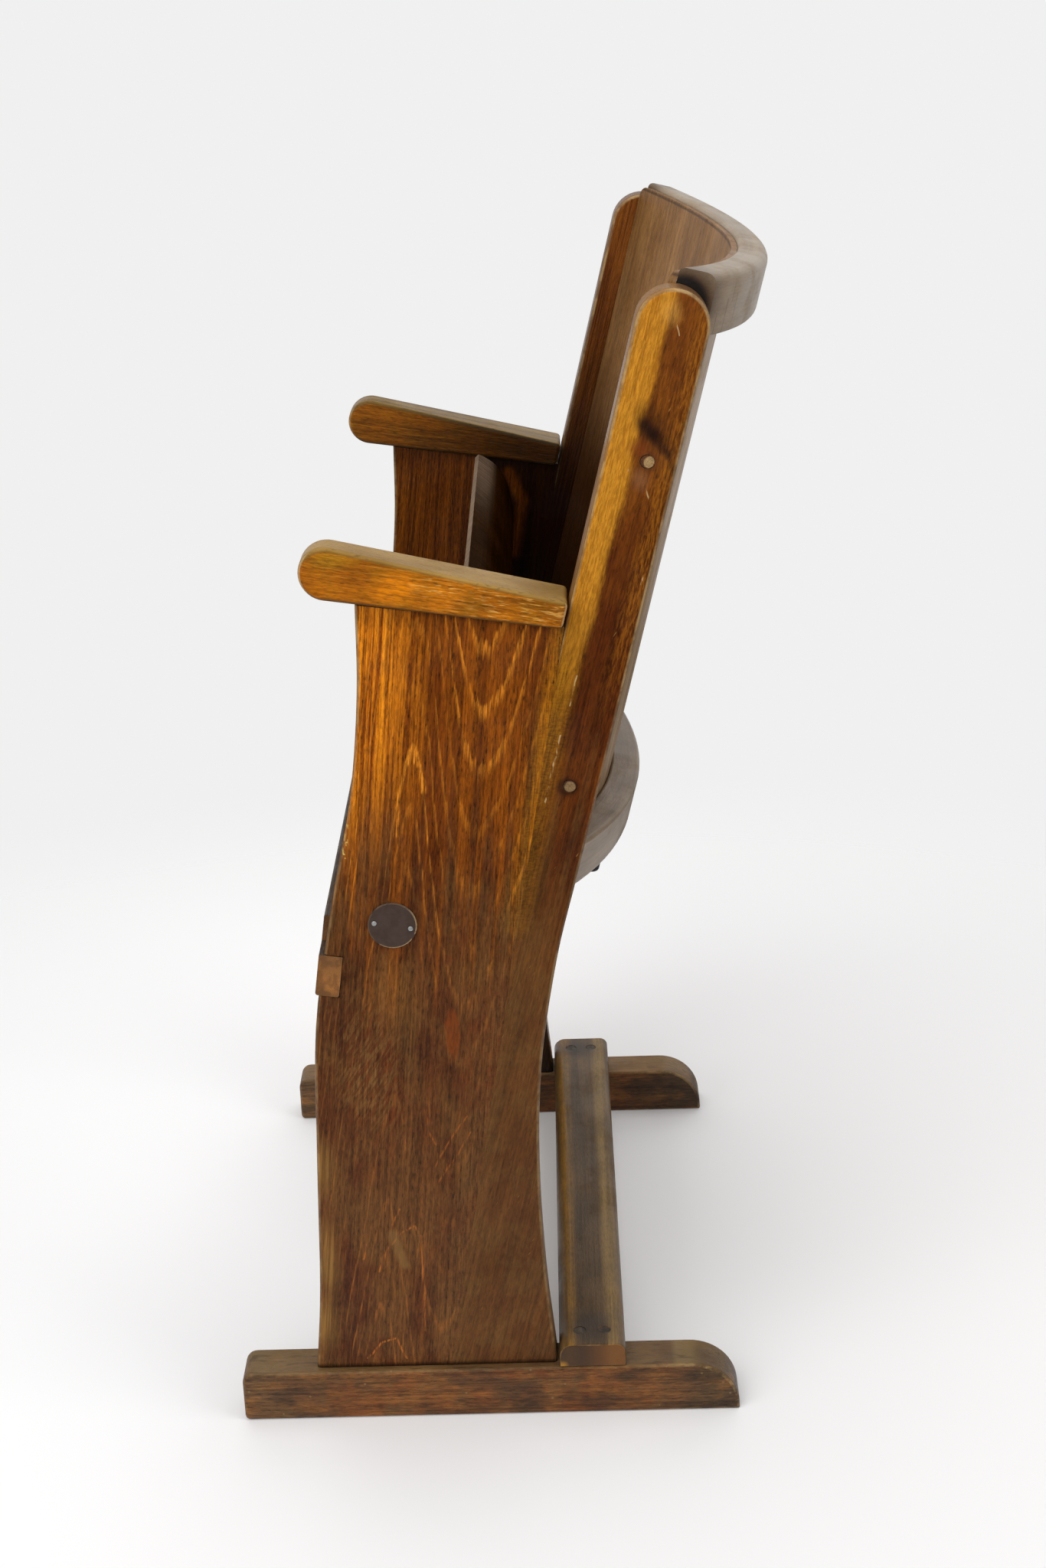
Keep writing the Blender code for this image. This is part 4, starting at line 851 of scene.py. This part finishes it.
def make_front_rail_finish():
    finish = Finish("front_rail_beech", "beech_rail", GRAIN_WIDE)
    finish.wood(tone(52, 38, 26), tone(74, 56, 38))
    finish.weave(0.5)
    tips = finish.ease(finish.size(finish.face_x), 0.6, 0.8)
    warm = finish.ease(finish.z, 0.362, 0.405, 1.0, 0.0)
    finish.layer(tips, finish.mix(warm, tone(118, 79, 42), tone(170, 110, 50)), 0.95)
    inner = finish.spot((face_x, -0.120, 0.389), (0.05, 0.014, 0.029), 0.3)
    finish.layer((tips, finish.minus(1.0, inner)), tone(84, 56, 30), 0.6)
    finish.layer((tips, finish.cloud((130, 130, 130), 0.46, 0.6)), tone(98, 62, 30), 0.5)
    fleck = finish.spot((face_x, -0.112, 0.371), (0.02, 0.0035, 0.004), 0.6)
    crumbs = finish.cloud((500, 500, 500), 0.48, 0.56)
    finish.layer((tips, fleck, crumbs), tone(236, 200, 130), 0.9)
    return finish.close(finish.gloss(0.4, 0.56), 0.0003)


def make_bent_rail_finish():
    finish = Finish("bent_rail_beech", "beech_rail")
    bent = finish.bent()
    finish.along = finish.combine(bent["Radius"], bent["Up"], bent["Round"])
    finish.wood(tone(118, 100, 82), tone(138, 118, 97))
    finish.layer(finish.ease(finish.z, 0.46, 0.5), tone(152, 132, 109), 0.6)
    finish.weave(0.25)
    upper = finish.ease(finish.z, 0.6, 0.7)
    # Painted sheen: the upward faces of the top rail lightened to grey in patches
    rubbed = finish.times(finish.ease(finish.face_z, 0.1, 0.5), upper, finish.cloud((26, 26, 26), 0.3, 0.7))
    finish.layer(rubbed, tone(172, 160, 142), 0.45)
    sideways = finish.size(finish.x)
    ends = finish.ease(sideways, 0.190, 0.219)
    burnt = finish.spot((0, 0.1360, 0.8500), (BOTH_SIDES, 0.034, 0.031), 0.6, finish.place)
    finish.layer((ends, burnt, upper), tone(68, 41, 18), 0.9)
    tips = finish.times(finish.ease(finish.size(finish.face_x), 0.86, 0.97), finish.ease(sideways, 0.2, 0.21))
    dark = finish.spot((0, 0.1365, 0.8480), (BOTH_SIDES, 0.0195, 0.0205), 0.3, finish.place)
    finish.layer((tips, dark), tone(26, 24, 24), 0.95)
    bend = finish.combine(bent["Round"], bent["Radius"], bent["Up"])
    finish.height = finish.times(finish.height, 0.4)
    for start, low, tall in RAIL_CRACKS:
        values = {"Vector": bend, "From": (start, RAIL_OUTER, low), "Width": 0.0, "Soft": 0.0009,
                  "To": (start + 0.001, RAIL_OUTER, low + tall)}
        finish.layer(finish.use(stroke_group, values)["Mask"], tone(58, 46, 36), 0.7)
    return finish.close(finish.gloss(0.36, 0.52), 0.0002, 0.26)


def make_back_ply_finish():
    finish = Finish("back_ply_beech", "back_plywood")
    bent = finish.bent()
    finish.along = finish.combine(bent["Round"], bent["Radius"], bent["Up"])
    finish.wood(tone(124, 85, 44), tone(148, 107, 62))
    sideways = finish.size(bent["Round"])
    # Painted shade where the back meets the posts, and a painted shadow over its lower part that is strongest
    # towards the sides
    painted_shade_by_posts = finish.ease(sideways, 0.185, 0.22)
    finish.layer((painted_shade_by_posts, finish.ease(bent["Up"], 0.76, 0.88, 1.0, 0.4)), tone(62, 34, 12), 0.4)
    lower_shade_reach = finish.ease(sideways, 0.11, 0.19, 0.2, 1.0)
    finish.layer((finish.ease(bent["Up"], 0.62, 0.76, 1.0, 0.0), lower_shade_reach), tone(40, 16, 3), 0.92)
    outer = finish.ease(bent["Radius"], BACK_RADIUS + 0.7 * BACK_PLY, BACK_RADIUS + 0.95 * BACK_PLY)
    finish.layer(outer, finish.mix(finish.grain["Streaks"], tone(134, 107, 76), tone(156, 128, 96)), 0.85)
    finish.weave(0.5)
    finish.layer(finish.band(bent["Up"], BACK_TOP - 0.0065, 0.0003, 0.0016), tone(58, 38, 20), 0.7)
    finish.layer(finish.ease(bent["Up"], BACK_TOP - 0.005, BACK_TOP - 0.003), tone(146, 118, 84), 0.6)
    return finish.close(finish.gloss(0.36, 0.5), 0.0002, 0.28)


def make_seat_ply_finish():
    """Brown seat, darkened towards its front edge as painted shade, with a painted grey highlight in streaks
    over the rolled front edge and a pale cut lip.
    """
    finish = Finish("seat_ply_beech", "seat_plywood", GRAIN_WIDE)
    # The dark base is painted shade; only the sat-on part farther from the front edge gets the seat's own
    # brown
    finish.wood(tone(32, 15, 2), tone(46, 24, 5))
    sat_on = finish.times(finish.ease(finish.face_y, 0.1, 0.5), finish.ease(finish.z, 0.46, 0.60, 1.0, 0.0))
    finish.layer(sat_on, finish.mix(finish.grain["Streaks"], tone(88, 56, 27), tone(116, 79, 43)), 0.95)
    finish.weave(0.6)
    # Painted highlight in slanted streaks over the rolled front edge, laid together with the pale cut lip
    streak_noise = noise(finish.tree, finish.turn(STREAK_SLANT), (620, 60, 60), 2.0)[0]
    streaked = finish.ease(streak_noise, 0.34, 0.66, 0.55, 1.0)
    roll_highlight = finish.times(finish.ease(finish.face_z, 0.56, 0.92), finish.ease(finish.z, 0.60, 0.635),
                        finish.ease(finish.x, -0.19, 0.02, 1.0, 0.1))
    lip = finish.times(finish.ease(finish.face_y, -0.1, -0.5), finish.ease(finish.z, 0.642, 0.648))
    finish.layer((finish.most(roll_highlight, lip), streaked), tone(146, 124, 104), 0.85)
    finish.shader.inputs["Coat Roughness"].default_value = 0.4
    finish.tree.links.new(finish.times(sat_on, 0.35), finish.shader.inputs["Coat Weight"])
    return finish.close(finish.gloss(0.44, 0.58), 0.0001, 0.0)


def make_under_finish():
    finish = Finish("under_seat_beech", "beech_under_seat", GRAIN_DEEP)
    finish.wood(tone(100, 70, 42), tone(122, 90, 58))
    finish.weave(0.5)
    return finish.close(finish.gloss(0.5, 0.65), 0.0003)


def make_dowel_finish():
    """Ends of the dowels: a pale core, and round it a dark rim of painted shade from the hole the dowel sits
    in.
    """
    finish = Finish("dowel_beech", "dowel_wood", GRAIN_WIDE)
    finish.wood(tone(66, 36, 14), tone(90, 52, 22))
    core_wood = finish.mix(finish.grain["Mottle"], tone(140, 110, 72), tone(182, 148, 98))
    for y, z in DOWEL_CORES:
        finish.layer(finish.spot((0, y, z), (BOTH_SIDES, 0.0045, 0.0045), 0.3), core_wood, 0.9)
    finish.weave(0.5)
    return finish.close(0.6, 0.0004)


def make_plate_finish():
    """Brown paint on the round plates, rubbed to the metal round the rim."""
    finish = Finish("pivot_plate_paint", "pivot_plate_brown")
    cloud = finish.cloud((160, 160, 160), 0.3, 0.7, 4.0)
    finish.colour = finish.mix(cloud, tone(66, 50, 43), tone(74, 57, 50))
    middle = (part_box("pivot_cup_left")[0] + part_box("pivot_cup_left")[1]) / 2
    spread = vector_calc(finish.tree, "SUBTRACT", finish.place, (0, middle.y, middle.z))
    away = vector_calc(finish.tree, "LENGTH", vector_calc(finish.tree, "MULTIPLY", spread, (0, 1, 1)))
    turned = vector_calc(finish.tree, "DOT_PRODUCT", spread, (0, 0.7, -0.7))
    rim = finish.times(finish.ease(away, 0.0164, 0.0171), finish.ease(turned, -0.008, 0.014, 0.15, 1.0),
                       finish.cloud((200, 200, 200), 0.36, 0.5))
    finish.layer(rim, tone(176, 148, 110), 0.8)
    finish.height = cloud
    return finish.close(finish.gloss(0.46, 0.6), 0.0001, 0.3)


def make_plain_finish(name, slot, dark, light, roughness, metallic, relief):
    """A rubber or steel finish: two mottled shades."""
    finish = Finish(name, slot)
    cloud = finish.cloud((220, 220, 220), 0.3, 0.7, 4.0)
    finish.colour = finish.mix(cloud, dark, light)
    finish.height = cloud
    return finish.close(finish.gloss(roughness, roughness + 0.15), relief, metallic=metallic)


# Pieces
def focus(piece):
    bpy.ops.object.select_all(action="DESELECT")
    piece.select_set(True)
    bpy.context.view_layer.objects.active = piece


def apply_modifier(piece, kind, **settings):
    modifier = piece.modifiers.new(kind.lower(), kind)
    for name, setting in settings.items():
        setattr(modifier, name, setting)
    focus(piece)
    bpy.ops.object.modifier_apply(modifier=modifier.name)


def close_joint(piece):
    """Moves the slanted rear face of a side board back onto its post, as the glue joint is closed."""
    bpy.ops.object.mode_set(mode="EDIT")
    bpy.ops.mesh.select_mode(type="FACE")
    bpy.ops.mesh.select_all(action="DESELECT")
    bpy.ops.object.mode_set(mode="OBJECT")
    backs = [face for face in piece.data.polygons if face.normal.y > 0.9]
    joint = max(backs, key=lambda face: face.area)
    for face in backs:
        face.select = abs((face.center - joint.center).dot(joint.normal)) < JOINT_GAP / 2
    bpy.ops.object.mode_set(mode="EDIT")
    bpy.ops.transform.translate(value=(0, JOINT_GAP, 0))
    bpy.ops.object.mode_set(mode="OBJECT")


def dress(node, body, finish, edge=0.0):
    """A smooth copy of a frame node: its loose triangles merged, its sharp edges eased, with its finish."""
    piece = bpy.data.objects.new("worn_" + node, nodes[node].data.copy())
    scene.collection.objects.link(piece)
    focus(piece)
    bpy.ops.mesh.customdata_custom_splitnormals_clear()
    bpy.ops.object.mode_set(mode="EDIT")
    bpy.ops.mesh.select_all(action="SELECT")
    bpy.ops.mesh.remove_doubles(threshold=MERGE)
    bpy.ops.mesh.dissolve_limited(angle_limit=math.radians(FLAT_ANGLE))
    bpy.ops.object.mode_set(mode="OBJECT")
    if node.startswith("side_board"):
        close_joint(piece)
    if edge:
        apply_modifier(piece, "BEVEL", width=edge, segments=2, limit_method="ANGLE",
                       angle_limit=math.radians(EDGE_ANGLE))
    focus(piece)
    bpy.ops.object.shade_smooth_by_angle(angle=math.radians(SMOOTH_ANGLE))
    apply_modifier(piece, "WEIGHTED_NORMAL", keep_sharp=True)
    piece.data.materials.clear()
    piece.data.materials.append(finish.material)
    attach(piece, body)
    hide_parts(node)


board = make_side_board_finish()
post = make_post_finish()
arm = make_arm_finish()
foot = make_foot_finish()
stretcher = make_stretcher_finish()
front_rail = make_front_rail_finish()
rail = make_bent_rail_finish()
back_ply = make_back_ply_finish()
seat_ply = make_seat_ply_finish()
under = make_under_finish()
dowel = make_dowel_finish()
plate = make_plate_finish()
rivet = make_plain_finish(
    "rivet_metal", "rivet_steel", tone(150, 152, 150), tone(190, 192, 190), 0.5, 0.5, 0.0001)
screw = make_plain_finish(
    "screw_metal", "screw_steel", tone(58, 49, 41), tone(84, 72, 60), 0.5, 0.3, 0.0002)
rubber = make_plain_finish(
    "bumper_black", "bumper_rubber", tone(20, 20, 22), tone(34, 34, 36), 0.6, 0.0, 0.0001)

for side in ("left", "right"):
    dress("foot_" + side, "frame", foot, SMALL_EDGE)
    dress("side_board_" + side, "frame", board)
    dress("post_" + side, "frame", post)
    dress("arm_" + side, "frame", arm)
    dress("back_cleat_" + side, "frame", rail, MEDIUM_EDGE)
    dress("pivot_cup_" + side, "frame", plate)
    dress("pivot_pin_" + side, "seat", screw)
    dress("bumper_" + side, "frame", rubber)
    dress("seat_bearer_" + side, "seat", under, SOFT_EDGE)
    for rank in ("front", "rear"):
        dress(f"{rank}_rivet_{side}", "frame", rivet)
        dress(f"stretcher_screw_{side}_{rank}", "frame", screw)
    for level in ("lower", "upper"):
        dress(f"{level}_dowel_{side}", "frame", dowel, FINE_EDGE)
dress("top_rail", "frame", rail)
dress("lower_rail", "frame", rail)
dress("back_panel", "frame", back_ply, SMALL_EDGE)
dress("stretcher", "frame", stretcher)
dress("front_rail", "frame", front_rail, SMALL_EDGE)
dress("seat_panel", "seat", seat_ply, MEDIUM_EDGE)
for rank in ("front", "rear"):
    dress("seat_batten_" + rank, "seat", under, SOFT_EDGE)


# Stage, light and camera
def make_camera():
    data = bpy.data.cameras.new("camera")
    data.sensor_width = SENSOR
    data.lens = FOCAL_PIXELS / PHOTO_LONG_SIDE * SENSOR
    ahead = Vector((-math.cos(CAMERA_YAW) * math.cos(CAMERA_PITCH),
                    math.sin(CAMERA_YAW) * math.cos(CAMERA_PITCH), -math.sin(CAMERA_PITCH)))
    right = ahead.cross(Vector((0, 0, 1))).normalized()
    above = right.cross(ahead)
    across = right * math.cos(CAMERA_ROLL) + above * math.sin(CAMERA_ROLL)
    upward = above * math.cos(CAMERA_ROLL) - right * math.sin(CAMERA_ROLL)
    turn = Matrix((across, upward, -ahead)).transposed()
    place = Vector(CAMERA_PLACE) + Vector((0, feet_middle, 0))
    camera = bpy.data.objects.new("camera", data)
    camera.matrix_world = Matrix.Translation(place) @ turn.to_4x4()
    scene.collection.objects.link(camera)
    scene.camera = camera


def make_lamp(name, place, aim, size, power):
    """A soft lamp that doesn't show itself."""
    data = bpy.data.lights.new(name, "AREA")
    data.shape = "RECTANGLE"
    data.size, data.size_y = size
    data.energy = power
    lamp = bpy.data.objects.new(name, data)
    lamp.location = place
    lamp.rotation_euler = (Vector(aim) - Vector(place)).to_track_quat("-Z", "Y").to_euler()
    lamp.visible_camera = False
    scene.collection.objects.link(lamp)


def make_stage():
    """A white floor that fades out into the pale surroundings."""
    bpy.ops.object.select_all(action="DESELECT")
    bpy.ops.mesh.primitive_plane_add(size=FLOOR_SIZE, location=(0, 0, 0))
    floor = bpy.context.object
    floor.name = "floor"
    material = bpy.data.materials.new("floor_white")
    material.use_nodes = True
    tree = material.node_tree
    shader = tree.nodes["Principled BSDF"]
    shader.inputs["Base Color"].default_value = tone(246, 245, 245)
    shader.inputs["Roughness"].default_value = 0.9
    shader.inputs["Specular IOR Level"].default_value = 0.1
    place = put(tree, "TexCoord").outputs["Object"]
    away = vector_calc(tree, "LENGTH", vector_calc(tree, "MULTIPLY", place, (1.0, 0.8, 1.0)))
    tree.links.new(ease(tree, away, *FLOOR_FADE, 1.0, 0.0), shader.inputs["Alpha"])
    floor.data.materials.append(material)


def make_world():
    """Pale to the camera, dim as light and dark in reflections."""
    world = bpy.data.worlds.new("studio")
    world.use_nodes = True
    tree = world.node_tree
    back = tree.nodes["Background"]
    path = put(tree, "LightPath").outputs
    colour = blend(tree, path["Is Glossy Ray"], (*(WORLD_LIGHT,) * 3, 1), (*(WORLD_GLOSS,) * 3, 1))
    tree.links.new(blend(tree, path["Is Camera Ray"], colour, tone(240, 240, 240)), back.inputs["Color"])
    scene.world = world


make_camera()
make_stage()
make_world()
for lamp in LAMPS:
    make_lamp(*lamp)
scene.view_settings.view_transform = "Standard"
